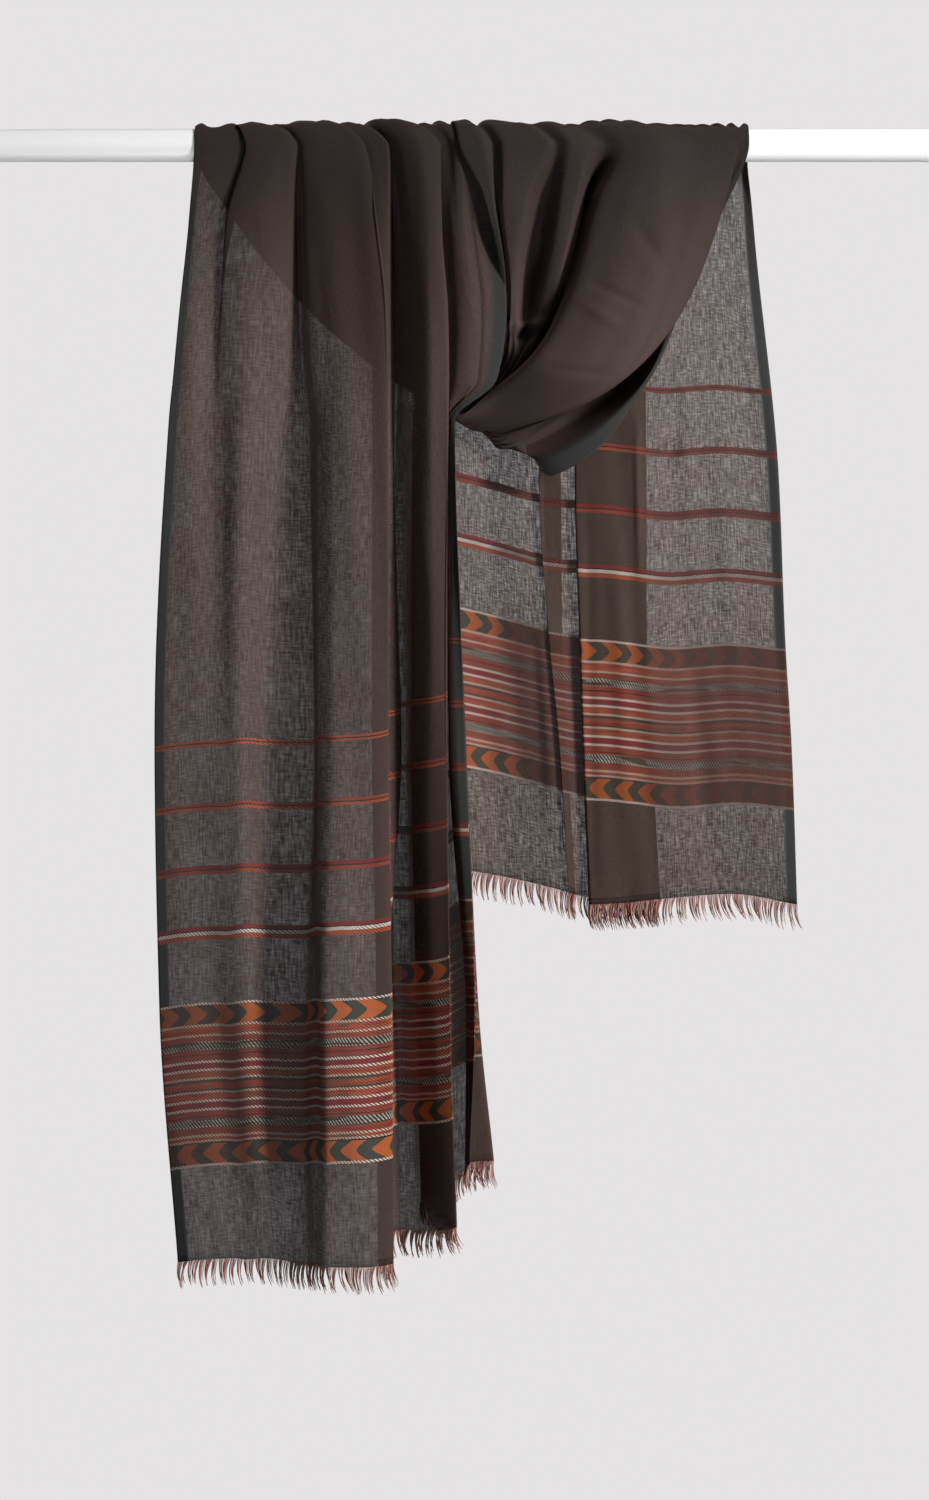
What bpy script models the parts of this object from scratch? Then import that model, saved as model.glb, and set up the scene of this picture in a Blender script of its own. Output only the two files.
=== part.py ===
"""A wool stole wound once round a plain rod, for Blender 4.5 (metres, +Z up).

The woven length hangs in front of the rod at the left, goes over the rod, drops behind it into a loop,
comes up in front as a soft roll, goes over the rod again at the right and hangs down behind.
Each stretch is a row of fold lines that run along the cloth. The tables give where each fold line is
at a few heights, and the cloth is a smooth surface through them with a wall of even thickness.

The origin is on the rod's axis, midway between its ends. +X is right and -Y is the front.
"""
import math

import bpy
import numpy as np

MM = 0.001

# Driving dimensions, in metres.
ROD_DIAMETER = 0.025
ROD_LENGTH = 0.760
ROD_END_BEVEL = 0.0012
ROD_SIDES = 48
ROD_CLEARANCE = 0.0006
CLOTH_WALL = 0.001
SEAM_GAP = 0.0007
FRINGE_REACH = 0.021
FRINGE_FLARE = 0.004

# The rows over the top of the rod, in degrees from its front, and the radius of a layer that lies on it.
CROSSING_ANGLES = (22.5, 45, 67.5, 90, 112.5, 135, 157.5, 180)
LAYER_RADIUS = ROD_DIAMETER / 2 + CLOTH_WALL / 2 + ROD_CLEARANCE

# Front fall. Heights of the table's columns, in millimetres above the rod's axis.
FRONT_HEIGHTS = (0, -60, -125, -178, -208, -450, -655)

FRONT_ACROSS = (
    # Millimetres right of the rod's middle, at each height and at the hem.
    # fold line            rod   neck  upper elbow pinch  mid  border  hem
    ("left selvedge",     -204,  -209, -216, -221, -224, -235, -231, -217),
    ("first face",        -187,  -197, -202, -206, -208, -216, -212, -197),
    ("first inner fold",  -156,  -175, -186, -190, -191, -191, -188, -174),
    ("second outer fold", -165,  -181, -184, -185, -184, -182, -179, -166),
    ("second face",       -147,  -156, -158, -159, -159, -158, -155, -143),
    ("second flank",      -131,  -134, -133, -132, -132, -131, -131, -125),
    ("gap before third",  -125,  -124, -122, -122, -122, -122, -123, -118),
    ("third rise",        -122,  -119, -115, -114, -114, -113, -116, -113),
    ("third shoulder",    -109,  -106, -103, -102, -102, -103, -108, -103),
    ("third crest",        -81,   -81,  -81,  -81,  -81,  -81,  -85,  -81),
    ("third outer fold",   -76,   -66,  -59,  -58,  -58,  -58,  -55,  -53),
    ("third return",       -81,   -75,  -69,  -68,  -67,  -69,  -66,  -64),
    ("third inner fold",   -85,   -84,  -78,  -76,  -75,  -78,  -76,  -75),
    ("small fold",         -59,   -58,  -59,  -60,  -61,  -64,  -61,  -59),
    ("gap before fourth",  -56,   -53,  -51,  -51,  -51,  -52,  -49,  -47),
    ("fourth wall",        -53,   -49,  -46,  -46,  -46,  -44,  -41,  -39),
    ("fourth shoulder",    -46,   -41,  -38,  -38,  -38,  -37,  -35,  -32),
    ("fourth crest",       -34,   -28,  -25,  -24,  -24,  -24,  -22,  -19),
    ("fourth outer fold",  -18,   -18,  -14,  -13,  -13,  -13,  -11,   -6),
    ("fourth return",      -23,   -23,  -21,  -21,  -21,  -22,  -20,  -16),
    ("fourth inner fold",  -26,   -25,  -25,  -26,  -27,  -31,  -29,  -26),
    ("fifth rise",         -13,   -12,  -11,  -13,  -18,  -19,  -16,  -14),
    ("fifth crest",         -5,     0,    6,    3,   -8,    1,   10,   22),
    ("fifth crest's back",  -2,     4,   10,    7,   -9,    0,    9,   21),
    ("fifth turn",           2,     7,   16,   12,  -13,  -11,   -6,   -6),
    ("margin",               6,    10,   21,   18,  -10,   -6,    0,   -2),
    ("right selvedge",      10,    16,   29,   24,   -7,    0,    7,    3),
)

FRONT_FORWARD = (
    # Millimetres in front of the rod's axis, at each height and at the hem, and then the hem's height.
    # fold line            rod  neck upper elbow pinch mid border hem   hem height
    ("left selvedge",     13.5,  14,   14,   13,   13,   9,   10,  10,  -846),
    ("first face",        13.5,  15,   15,   14,   14,  10,   12,  14,  -844),
    ("first inner fold",  13.9,  11,   10,   11,   11,   9,   12,  15,  -843),
    ("second outer fold", 17.0,  16,   13,   12,   12,  10,   13,  17,  -844),
    ("second face",       18.0,  19,   18,   16,   16,  12,   14,  20,  -843),
    ("second flank",      17.0,  14,   12,   11,   11,  10,   13,  22,  -845),
    ("gap before third",  14.0,   6,    5,    6,    7,  11,   19,  30,  -847),
    ("third rise",        17.0,  14,   16,   17,   18,  22,   36,  46,  -847),
    ("third shoulder",    20.0,  24,   28,   29,   30,  36,   56,  62,  -850),
    ("third crest",       21.0,  29,   36,   38,   39,  44,   64,  68,  -850),
    ("third outer fold",  18.0,  27,   33,   36,   37,  42,   58,  62,  -846),
    ("third return",      15.8,  20,   25,   28,   29,  34,   48,  52,  -841),
    ("third inner fold",  13.6,  14,   17,   19,   20,  25,   38,  42,  -835),
    ("small fold",        16.5,  14,   12,   12,   12,  14,   22,  26,  -826),
    ("gap before fourth", 14.0,   3,    2,    2,    2,   4,   12,  16,  -821),
    ("fourth wall",       17.5,  12,   11,   11,   11,  13,   18,  21,  -822),
    ("fourth shoulder",   22.0,  20,   20,   20,   20,  22,   26,  28,  -822),
    ("fourth crest",      25.0,  24,   26,   27,   27,  29,   31,  33,  -822),
    ("fourth outer fold", 20.0,  21,   24,   25,   25,  27,   29,  31,  -819),
    ("fourth return",     16.3,  15,   17,   18,   18,  20,   21,  23,  -810),
    ("fourth inner fold", 13.6,   8,    7,    8,    9,  10,   12,  14,  -799),
    ("fifth rise",        15.0,  12,   11,    9,    5,  -5,   -6,  -4,  -784),
    ("fifth crest",       18.5,  18,   19,   15,    3,  -7,   -7,  -5,  -769),
    ("fifth crest's back", 18.2, 15,  18,   14.8, 5.5, -4,   -4,  -2,  -769),
    ("fifth turn",        16.5,  11,   16,   14,    7,   0,    1,   4,  -772),
    ("margin",            14.8,   4,   14,   12,    9,   4,    5,   8,  -774),
    ("right selvedge",    13.6,   3,   14,   10,   10,   5,    6,  11,  -773),
)

# The loop's front arm. Each fold line runs down from the rod to the bottom of the loop.
LOOP_FOLDS = (
    # Millimetres across, up and forward:
    # on the rod, below it and halfway down,
    # then at the bend, near the bottom and at the bottom.
    ("inner selvedge", (-12, 0, 21), (16, -41, 21), (28, -109, 4),
     (25, -166, -1), (10, -194, -4), (-2, -206, 0)),
    ("strip crest", (12, 0, 21), (24, -41, 21), (32, -109, 7),
     (31, -162, 2), (15, -194, -2), (1, -207, -1)),
    ("first valley", (27, 0, 14), (31, -45, 4), (35, -113, 1),
     (34, -160, -4), (17, -194, -6), (3, -208, -4)),
    ("second crest", (53, 0, 20), (51, -41, 24), (43, -106, 18),
     (38, -151, 8), (19, -194, 0), (6, -209, -4)),
    ("second valley", (81, 0, 14), (72, -45, -2), (52, -113, -7),
     (43, -155, -8), (23, -194, -7), (8, -210, -8)),
    ("third crest", (90, 0, 19), (87, -41, 22), (69, -106, 18),
     (50, -151, 9), (27, -194, 1), (11, -211, -7)),
    ("third valley", (119, 0, 14), (103, -41, -2), (79, -109, -8),
     (57, -155, -9), (31, -190, -8), (13, -213, -11)),
    ("roll shoulder", (126, 0, 21), (112, -41, 25), (88, -109, 28),
     (63, -155, 24), (35, -193, 10), (16, -214, -8)),
    ("roll crest", (144, 0, 21), (144, -45, 33), (124, -117, 44),
     (95, -172, 42), (50, -204, 22), (20, -216, -6)),
    ("roll flank", (178, 0, 15), (172, -49, 26), (151, -121, 38),
     (119, -174, 40), (66, -208, 24), (26, -218, -4)),
    ("roll lip", (206, 0, 14), (194, -51, 16), (168, -119, 22),
     (133, -164, 30), (81, -199, 24), (31, -220, -3)),
    ("inner fold", (209, 0, 13.7), (155, -52, 8), (118, -122, 10),
     (88, -170, 10), (54, -206, 5), (29, -228, -10)),
    ("lower roll", (212, 0, 13.6), (189, -56, 4), (160, -125, 2),
     (138, -172, 12), (90, -220, 18), (50, -237, 2)),
    ("outer selvedge", (215, 0, 13.5), (195, -53, 2), (166, -122, -5),
     (142, -167, 3), (106, -223, 8), (66, -249, 0)),
)

# How the loop's back arm leaves the rod and arrives at the bottom, in millimetres.
BACK_ARM = (
    # share of the width, (across, back, up) on leaving, (across, back, up) before arriving
    (0.00, (39, 6, -100), (-48, 14, 16)),
    (0.35, (40, 7, -108), (-38, 14, 40)),
    (1.00, (10, 8, -150), (-14, 16, 6)),
)
BACK_ARM_PLACES = (0.2, 0.4, 0.6, 0.8)
BACK_ARM_WAVES = 4
BACK_ARM_WAVE_DEPTH = 0.003

# The places where each crossing lands behind the rod, in millimetres right of its middle.
FIRST_LANDING = (-204, -16)
SECOND_LANDING = (-12, 215)

# Back fall.
BACK_HEIGHTS = (-60, -249, -375, -458)

BACK_ACROSS = (
    # Millimetres right of the rod's middle, at each height and at the hem.
    # fold line              neck upper waist border hem
    ("left selvedge",         -11,   -6,   -2,    3,    9),
    ("left face",              16,   19,   25,   31,   36),
    ("before first pleat",     45,   50,   57,   63,   69),
    ("first inner fold",       68,   73,   74,   78,   84),
    ("first outer fold",       57,   56,   64,   72,   79),
    ("between pleats",         72,   77,   80,   84,   91),
    ("second inner fold",     134,  137,  138,  142,  148),
    ("second inner turn",     133,  136,  137,  141,  147),
    ("second outer fold",      84,   83,   87,   90,   95),
    ("second outer turn",      85,   84,   88,   91,   96),
    ("pleat face",            107,  109,  112,  114,  118),
    ("pleat end",             137,  137,  139,  142,  147),
    ("right face",            178,  186,  192,  197,  203),
    ("right selvedge",        219,  238,  243,  248,  252),
)

BACK_BEHIND = (
    # Millimetres behind the rod's axis, at each height and at the hem, and then the hem's height.
    # fold line               neck upper waist border hem  hem height
    ("left selvedge",          26,  29,  28,  26,  24,  -548),
    ("left face",              29,  31,  29,  27,  26,  -555),
    ("before first pleat",     33,  36,  34,  32,  30,  -563),
    ("first inner fold",       34,  37,  35,  33,  31,  -567),
    ("first outer fold",       29,  32,  31,  29,  27,  -566),
    ("between pleats",         28,  31,  30,  29,  28,  -569),
    ("second inner fold",      32,  35,  33,  32,  30,  -572),
    ("second inner turn",      29,  32,  30,  29,  27,  -572),
    ("second outer fold",      25,  28,  26,  25,  23,  -575),
    ("second outer turn",      22,  25,  23,  22,  20,  -575),
    ("pleat face",             20,  23,  21,  20,  19,  -574),
    ("pleat end",              18,  22,  20,  19,  18,  -571),
    ("right face",             18,  24,  25,  23,  20,  -567),
    ("right selvedge",         15,  20,  22,  20,  18,  -575),
)

# Steps of the surface between the rows, along each stretch.
CROSSING_STEPS = [1] * len(CROSSING_ANGLES)
FRONT_STEPS = [2, 2, 2, 1, 1, 1, 2] + CROSSING_STEPS
LOOP_BACK_STEPS = [3, 3]
SWAG_STEPS = [2, 2, 2, 1, 2, 2, 2, 3] + CROSSING_STEPS
BACK_STEPS = [3, 3, 2, 1, 2]

# Colours of the woven cloth, its fringe and the painted rod: linear red, green and blue.
CLOTH_COLOUR = (0.055, 0.038, 0.036)
FRINGE_COLOUR = (0.150, 0.050, 0.042)
ROD_COLOUR = (0.80, 0.80, 0.80)


def spline(knots, values, wanted):
    """Read a smooth curve, which never overshoots, through the values given at the knots."""
    knots, values, wanted = np.asarray(knots, float), np.asarray(values, float), np.asarray(wanted, float)
    shape = (-1,) + (1,) * (values.ndim - 1)
    steps = np.diff(knots).reshape(shape)
    slopes = np.diff(values, axis=0) / steps
    before, after = 2 * steps[1:] + steps[:-1], steps[1:] + 2 * steps[:-1]
    turning = slopes[:-1] * slopes[1:] <= 0
    safe_before = np.where(turning, 1.0, slopes[:-1])
    safe_after = np.where(turning, 1.0, slopes[1:])
    inner = np.where(turning, 0.0, (before + after) / (before / safe_before + after / safe_after))
    tangents = np.concatenate([slopes[:1], inner, slopes[-1:]])
    cell = np.clip(np.searchsorted(knots, wanted, side="right") - 1, 0, len(steps) - 1)
    width = steps[cell]
    t = (wanted - knots[cell]).reshape(shape) / width
    start = (1 + 2 * t) * (1 - t) ** 2 * values[cell] + t * (1 - t) ** 2 * width * tangents[cell]
    end = t ** 2 * (3 - 2 * t) * values[cell + 1] + t ** 2 * (t - 1) * width * tangents[cell + 1]
    return start + end


def places_along(points):
    """The share of a line's length at each of its points, from 0 to 1."""
    lengths = np.concatenate([[0.0], np.cumsum(np.linalg.norm(np.diff(points, axis=0), axis=1))])
    return lengths / lengths[-1]


def subdivided(places, steps):
    """Each gap between the places cut into equal steps."""
    cuts = [np.linspace(a, b, steps, endpoint=False) for a, b in zip(places[:-1], places[1:])]
    return np.concatenate(cuts + [[places[-1]]])


def falling_rows(across_table, depth_table, heights, side):
    """The rows of a fall from the rod to its hem. side is -1 in front of the rod and +1 behind it."""
    across = np.array([row[1:] for row in across_table], float) * MM
    depth = np.array([row[1:-1] for row in depth_table], float) * MM * side
    hem = np.array([row[-1] for row in depth_table], float) * MM
    rows = [np.column_stack([across[:, i], depth[:, i], np.full(len(hem), height * MM)])
            for i, height in enumerate(heights)]
    rows.append(np.column_stack([across[:, -1], depth[:, -1], hem]))
    return rows


def crossing_rows(front, landing, columns):
    """The rows over the top of the rod. The folds of the front row spread out evenly by its back."""
    rows = []
    spread = (landing[0] + (landing[1] - landing[0]) * columns) * MM
    for degrees in CROSSING_ANGLES:
        share = degrees / 180
        angle = math.radians(degrees)
        across = front[:, 0] * (1 - share) + spread * share
        radius = -front[:, 1] * (1 - share) + LAYER_RADIUS * share
        rows.append(np.column_stack([across, -radius * math.cos(angle), radius * math.sin(angle)]))
    return rows


def back_arm_rows(top, bottom, columns):
    """The rows of the loop's back arm, from the rod to its bottom, between the two given rows."""
    shares = [row[0] for row in BACK_ARM]
    leaving = top + spline(shares, np.array([row[1] for row in BACK_ARM]) * MM, columns)
    arriving = bottom + spline(shares, np.array([row[2] for row in BACK_ARM]) * MM, columns)
    wave = BACK_ARM_WAVE_DEPTH * np.sin(2 * math.pi * BACK_ARM_WAVES * columns)
    rows = []
    for t in BACK_ARM_PLACES:
        row = (1 - t) ** 3 * top + 3 * (1 - t) ** 2 * t * leaving
        row += 3 * (1 - t) * t ** 2 * arriving + t ** 3 * bottom
        row[:, 1] += wave * math.sin(math.pi * t)
        rows.append(row)
    return rows


def stole_rows(columns):
    """All the rows of the stole at the given shares of its width, from its front hem to its back hem."""
    front = falling_rows(FRONT_ACROSS, FRONT_FORWARD, FRONT_HEIGHTS, side=-1)
    front = [spline(FRONT_PLACES, row, columns) for row in front[::-1]]
    front += crossing_rows(front[-1], FIRST_LANDING, columns)
    arm = [spline(LOOP_PLACES, row, columns) for row in loop_rows()[::-1]]
    back_arm = back_arm_rows(front[-1], arm[0], columns)
    arm += crossing_rows(arm[-1], SECOND_LANDING, columns)
    back = falling_rows(BACK_ACROSS, BACK_BEHIND, BACK_HEIGHTS, side=1)
    back = [spline(BACK_PLACES, row, columns) for row in back]
    return front + back_arm + arm + back


def loop_rows():
    """The rows of the loop's front arm, from the rod to its bottom."""
    return [np.array([(fold[level][0], -fold[level][2], fold[level][1]) for fold in LOOP_FOLDS]) * MM
            for level in range(1, len(LOOP_FOLDS[0]))]


def stretch(columns, first, steps):
    """A grid of points along one stretch, from its first row on, with the steps between each two rows."""
    rows = np.array(stole_rows(columns))
    travel = np.linalg.norm(np.diff(rows, axis=0), axis=2).mean(axis=1)
    knots = np.concatenate([[0.0], np.cumsum(travel)])
    ends = zip(knots[first:], knots[first + 1:], steps)
    cuts = [np.linspace(a, b, count, endpoint=False) for a, b, count in ends]
    return spline(knots, rows, np.concatenate(cuts + [knots[first + len(steps)][None]]))


def pulled_in(grid):
    """The grid with both end rows drawn in by half a seam gap, so that two stretches meet clear."""
    grid = grid.copy()
    for end, inner in ((0, 1), (-1, -2)):
        step = grid[inner] - grid[end]
        grid[end] += step / np.linalg.norm(step, axis=1, keepdims=True) * SEAM_GAP / 2
    return grid


def material(name, colour, roughness, metallic=0.0):
    """A Principled material of one plain colour."""
    made = bpy.data.materials.new(name)
    made.use_nodes = True
    shader = made.node_tree.nodes["Principled BSDF"]
    shader.inputs["Base Color"].default_value = (*colour, 1.0)
    shader.inputs["Roughness"].default_value = roughness
    shader.inputs["Metallic"].default_value = metallic
    return made


def cloth(name, grid, finish, collection):
    """A sheet through the grid's points, given its wall by a Solidify modifier."""
    rows, columns = grid.shape[:2]
    faces = [(r * columns + c, r * columns + c + 1, (r + 1) * columns + c + 1, (r + 1) * columns + c)
             for r in range(rows - 1) for c in range(columns - 1)]
    mesh = bpy.data.meshes.new(name)
    mesh.from_pydata(grid.reshape(-1, 3).tolist(), [], faces)
    mesh.shade_smooth()
    mesh.materials.append(finish)
    sheet = bpy.data.objects.new(name, mesh)
    collection.objects.link(sheet)
    wall = sheet.modifiers.new("wall", "SOLIDIFY")
    wall.thickness = CLOTH_WALL
    wall.offset = 0.0
    return sheet


def rod(collection):
    """The plain round rod, with a small bevel at its ends."""
    bpy.ops.mesh.primitive_cylinder_add(vertices=ROD_SIDES, radius=ROD_DIAMETER / 2, depth=ROD_LENGTH,
                                        rotation=(0, math.pi / 2, 0))
    bar = bpy.context.object
    bar.name = bar.data.name = "rod"
    for owner in list(bar.users_collection):
        owner.objects.unlink(bar)
    collection.objects.link(bar)
    bpy.context.view_layer.update()
    bar.data.transform(bar.matrix_world)
    bar.matrix_world.identity()
    edges = bar.modifiers.new("ends", "BEVEL")
    edges.width = ROD_END_BEVEL
    edges.segments = 1
    edges.limit_method = "ANGLE"
    edges.angle_limit = math.radians(60)
    bar.data.shade_smooth()
    bar.data.set_sharp_from_angle(angle=math.radians(40))
    bar.data.materials.append(material("rod paint", ROD_COLOUR, 0.35))
    return bar


def fringe_grid(hem_row, inner_row):
    """The reach of the fringe below a hem: the cloth's last direction carried on past the seam."""
    down = hem_row - inner_row
    down /= np.linalg.norm(down, axis=1, keepdims=True)
    spread = np.zeros_like(hem_row)
    spread[:, 0] = np.linspace(-FRINGE_FLARE, FRINGE_FLARE, len(hem_row))
    top = hem_row + down * SEAM_GAP / 2
    bottom = hem_row + down * FRINGE_REACH + spread
    return np.array([top, bottom])


def build():
    """Build the rod and the four stretches of the stole, with the two fringes."""
    for old in list(bpy.data.objects):
        bpy.data.objects.remove(old)
    parts = bpy.data.collections.new("wool_stole_on_rod")
    bpy.context.scene.collection.children.link(parts)
    weave = material("woven wool", CLOTH_COLOUR, 0.85)
    yarn = material("fringe yarn", FRINGE_COLOUR, 0.9)

    rod(parts)

    # Front fall: from its hem up to the rod and over it, where the pleats spread out.
    front_grid = stretch(subdivided(FRONT_PLACES, 2), 0, FRONT_STEPS)
    cloth("front_fall", pulled_in(front_grid), weave, parts)
    cloth("front_fringe", fringe_grid(front_grid[0], front_grid[1]), yarn, parts)

    # Back arm of the loop: from the rod down behind the front fall.
    first = len(FRONT_STEPS)
    columns = subdivided(LOOP_PLACES, 2)
    cloth("loop_back", pulled_in(stretch(columns, first, LOOP_BACK_STEPS)), weave, parts)

    # Swag: round the bottom of the loop, up its front arm and over the rod.
    first += len(LOOP_BACK_STEPS)
    cloth("swag", pulled_in(stretch(columns, first, SWAG_STEPS)), weave, parts)

    # Back fall: from the rod down to its hem.
    first += len(SWAG_STEPS)
    back_grid = stretch(subdivided(BACK_PLACES, 2), first, BACK_STEPS)
    cloth("back_fall", pulled_in(back_grid), weave, parts)
    cloth("back_fringe", fringe_grid(back_grid[-1], back_grid[-2]), yarn, parts)


# The share of the cloth's width at which each fold line of a table lies.
FRONT_PLACES = places_along(falling_rows(FRONT_ACROSS, FRONT_FORWARD, FRONT_HEIGHTS, side=-1)[-1])
LOOP_PLACES = places_along(loop_rows()[1])
BACK_PLACES = places_along(falling_rows(BACK_ACROSS, BACK_BEHIND, BACK_HEIGHTS, side=1)[-1])

build()
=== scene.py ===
# %% [markdown]
# # A wool stole on a rod
#
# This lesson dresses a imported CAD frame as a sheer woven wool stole. The real stole is one length of
# cloth, half a metre wide and two metres long, wound once round a white rod: down in front at the
# left, over the rod, through a loop behind it, up in front as a soft roll, over the rod again, and
# down behind at the right.
#
# The frame gives the sizes. Every piece made here sits where its CAD node is, at the origin,
# unturned and unscaled.

# %% Load the frame
import math

import bpy
import numpy as np
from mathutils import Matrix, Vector


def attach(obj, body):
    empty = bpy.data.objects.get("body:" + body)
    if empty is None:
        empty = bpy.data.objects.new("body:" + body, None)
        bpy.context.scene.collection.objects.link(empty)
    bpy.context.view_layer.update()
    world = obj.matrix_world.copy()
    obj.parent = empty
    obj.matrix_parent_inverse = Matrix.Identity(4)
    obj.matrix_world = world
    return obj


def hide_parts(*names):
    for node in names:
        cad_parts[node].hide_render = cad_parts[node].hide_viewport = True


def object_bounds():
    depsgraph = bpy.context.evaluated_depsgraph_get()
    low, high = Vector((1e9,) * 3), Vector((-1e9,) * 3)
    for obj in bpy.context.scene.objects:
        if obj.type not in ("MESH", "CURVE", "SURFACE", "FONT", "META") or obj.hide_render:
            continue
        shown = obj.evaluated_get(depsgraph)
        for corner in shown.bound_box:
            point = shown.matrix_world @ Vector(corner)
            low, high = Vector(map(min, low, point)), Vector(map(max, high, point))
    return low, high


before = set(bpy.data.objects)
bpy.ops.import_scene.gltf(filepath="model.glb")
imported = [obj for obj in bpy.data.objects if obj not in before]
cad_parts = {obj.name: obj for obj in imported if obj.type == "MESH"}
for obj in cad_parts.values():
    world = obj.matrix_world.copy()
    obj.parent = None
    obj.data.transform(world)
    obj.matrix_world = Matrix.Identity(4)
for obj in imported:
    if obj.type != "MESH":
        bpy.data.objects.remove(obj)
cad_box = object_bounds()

MM = 0.001
print("nodes:", sorted(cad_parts))
print("CAD box:", [tuple(round(v, 3) for v in corner) for corner in cad_box])

# %% [markdown]
# ## The camera
#
# A product photo of hanging cloth is taken from far off, square to the rod, so that nothing looks
# tilted. The rod is 25 mm thick and 33 pixels tall in the picture, and that scale sets how much the
# camera sees. The rod crosses near the top, so the camera stands lower, level with the picture's
# middle.

# %% Camera
PICTURE_WIDTH_PIXELS = 929
PICTURE_HEIGHT_PIXELS = 1500
ROD_DIAMETER = 0.025
ROD_THICKNESS_PIXELS = 33
ROD_CENTRE_PIXEL = 145.5
CAMERA_DISTANCE = 4.0
PIXEL = ROD_DIAMETER / ROD_THICKNESS_PIXELS
CAMERA_HEIGHT = (ROD_CENTRE_PIXEL - PICTURE_HEIGHT_PIXELS / 2) * PIXEL


def placed(name, data):
    """A new object in the scene, with the given data."""
    made = bpy.data.objects.new(name, data)
    bpy.context.scene.collection.objects.link(made)
    return made


camera = placed("camera", bpy.data.cameras.new("camera"))
camera.location = (0, -CAMERA_DISTANCE, CAMERA_HEIGHT)
camera.rotation_euler = (math.radians(90), 0, 0)
camera.data.lens = camera.data.sensor_width * CAMERA_DISTANCE / (PICTURE_HEIGHT_PIXELS * PIXEL)
bpy.context.scene.camera = camera
seen = (PICTURE_WIDTH_PIXELS * PIXEL, PICTURE_HEIGHT_PIXELS * PIXEL)
print("camera sees", [round(side, 3) for side in seen], "m")

# %% [markdown]
# ## Where the folds lie
#
# Hanging cloth folds along its length, so a pleat is a line that runs from the rod to the hem. A
# short table gives where each fold line is at a few heights, and a smooth curve through the lines
# gives the cloth between them. Modelling by rows and columns like this keeps the weave straight: the
# share of the width is the warp's place, and the distance walked along a column is the weft's.
#
# The front fall comes first. Across is measured right of the rod's middle, and forward is measured
# towards the camera.

# %% Fold lines of the front fall
CLOTH_WIDTH = 0.50
FRONT_HEIGHTS = (0, -60, -125, -178, -208, -450, -655)

FRONT_ACROSS = (
    # fold line             rod   neck  upper elbow pinch  mid  border  hem
    ("left selvedge",      -204,  -209, -216, -221, -224, -235, -231, -217),
    ("first face",         -187,  -197, -202, -206, -208, -216, -212, -197),
    ("first inner fold",   -156,  -175, -186, -190, -191, -191, -188, -174),
    ("second outer fold",  -165,  -181, -184, -185, -184, -182, -179, -166),
    ("second face",        -147,  -158, -162, -165, -167, -169, -165, -151),
    ("second flank",       -131,  -133, -134, -137, -140, -144, -143, -134),
    ("gap before third",   -125,  -126, -125, -122, -118, -115, -121, -122),
    ("third rise",         -122,  -122, -120, -116, -112, -110, -114, -114),
    ("third shoulder",     -109,  -108, -105, -102, -100,  -99, -104, -104),
    ("third crest",         -81,   -81,  -81,  -81,  -81,  -81,  -85,  -81),
    ("third outer fold",    -76,   -66,  -59,  -58,  -58,  -58,  -55,  -53),
    ("third return",        -81,   -74,  -66,  -65,  -65,  -65,  -62,  -60),
    ("third inner fold",    -85,   -81,  -71,  -69,  -69,  -70,  -67,  -65),
    ("small fold",          -59,   -58,  -59,  -59,  -58,  -47,  -60,  -59),
    ("gap before fourth",   -56,   -53,  -51,  -51,  -52,  -57,  -49,  -47),
    ("fourth wall",         -53,   -49,  -46,  -46,  -46,  -44,  -41,  -39),
    ("fourth shoulder",     -46,   -41,  -38,  -38,  -38,  -37,  -35,  -32),
    ("fourth crest",        -34,   -28,  -25,  -24,  -24,  -24,  -22,  -19),
    ("fourth outer fold",   -18,   -18,  -14,  -13,  -13,  -13,  -11,   -6),
    ("fourth return",       -23,   -25,  -26,  -27,  -27,  -28,  -24,  -20),
    ("fourth inner fold",   -26,   -30,  -35,  -37,  -38,  -41,  -36,  -32),
    ("fifth rise",          -13,   -12,  -11,  -13,  -18,  -19,  -16,  -14),
    ("fifth crest",          -5,     0,    6,    3,   -8,    1,   10,   22),
    ("fifth crest's back",   -2,     4,   10,    7,   -9,    0,    9,   21),
    ("fifth turn",            2,     9,   16,   12,  -13,  -11,    1,    0),
    ("margin",                8,    17,   23,   18,  -10,   -6,    4,    2),
    ("right selvedge",       15,    26,   32,   24,   -7,    0,    9,    4),
)

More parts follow.
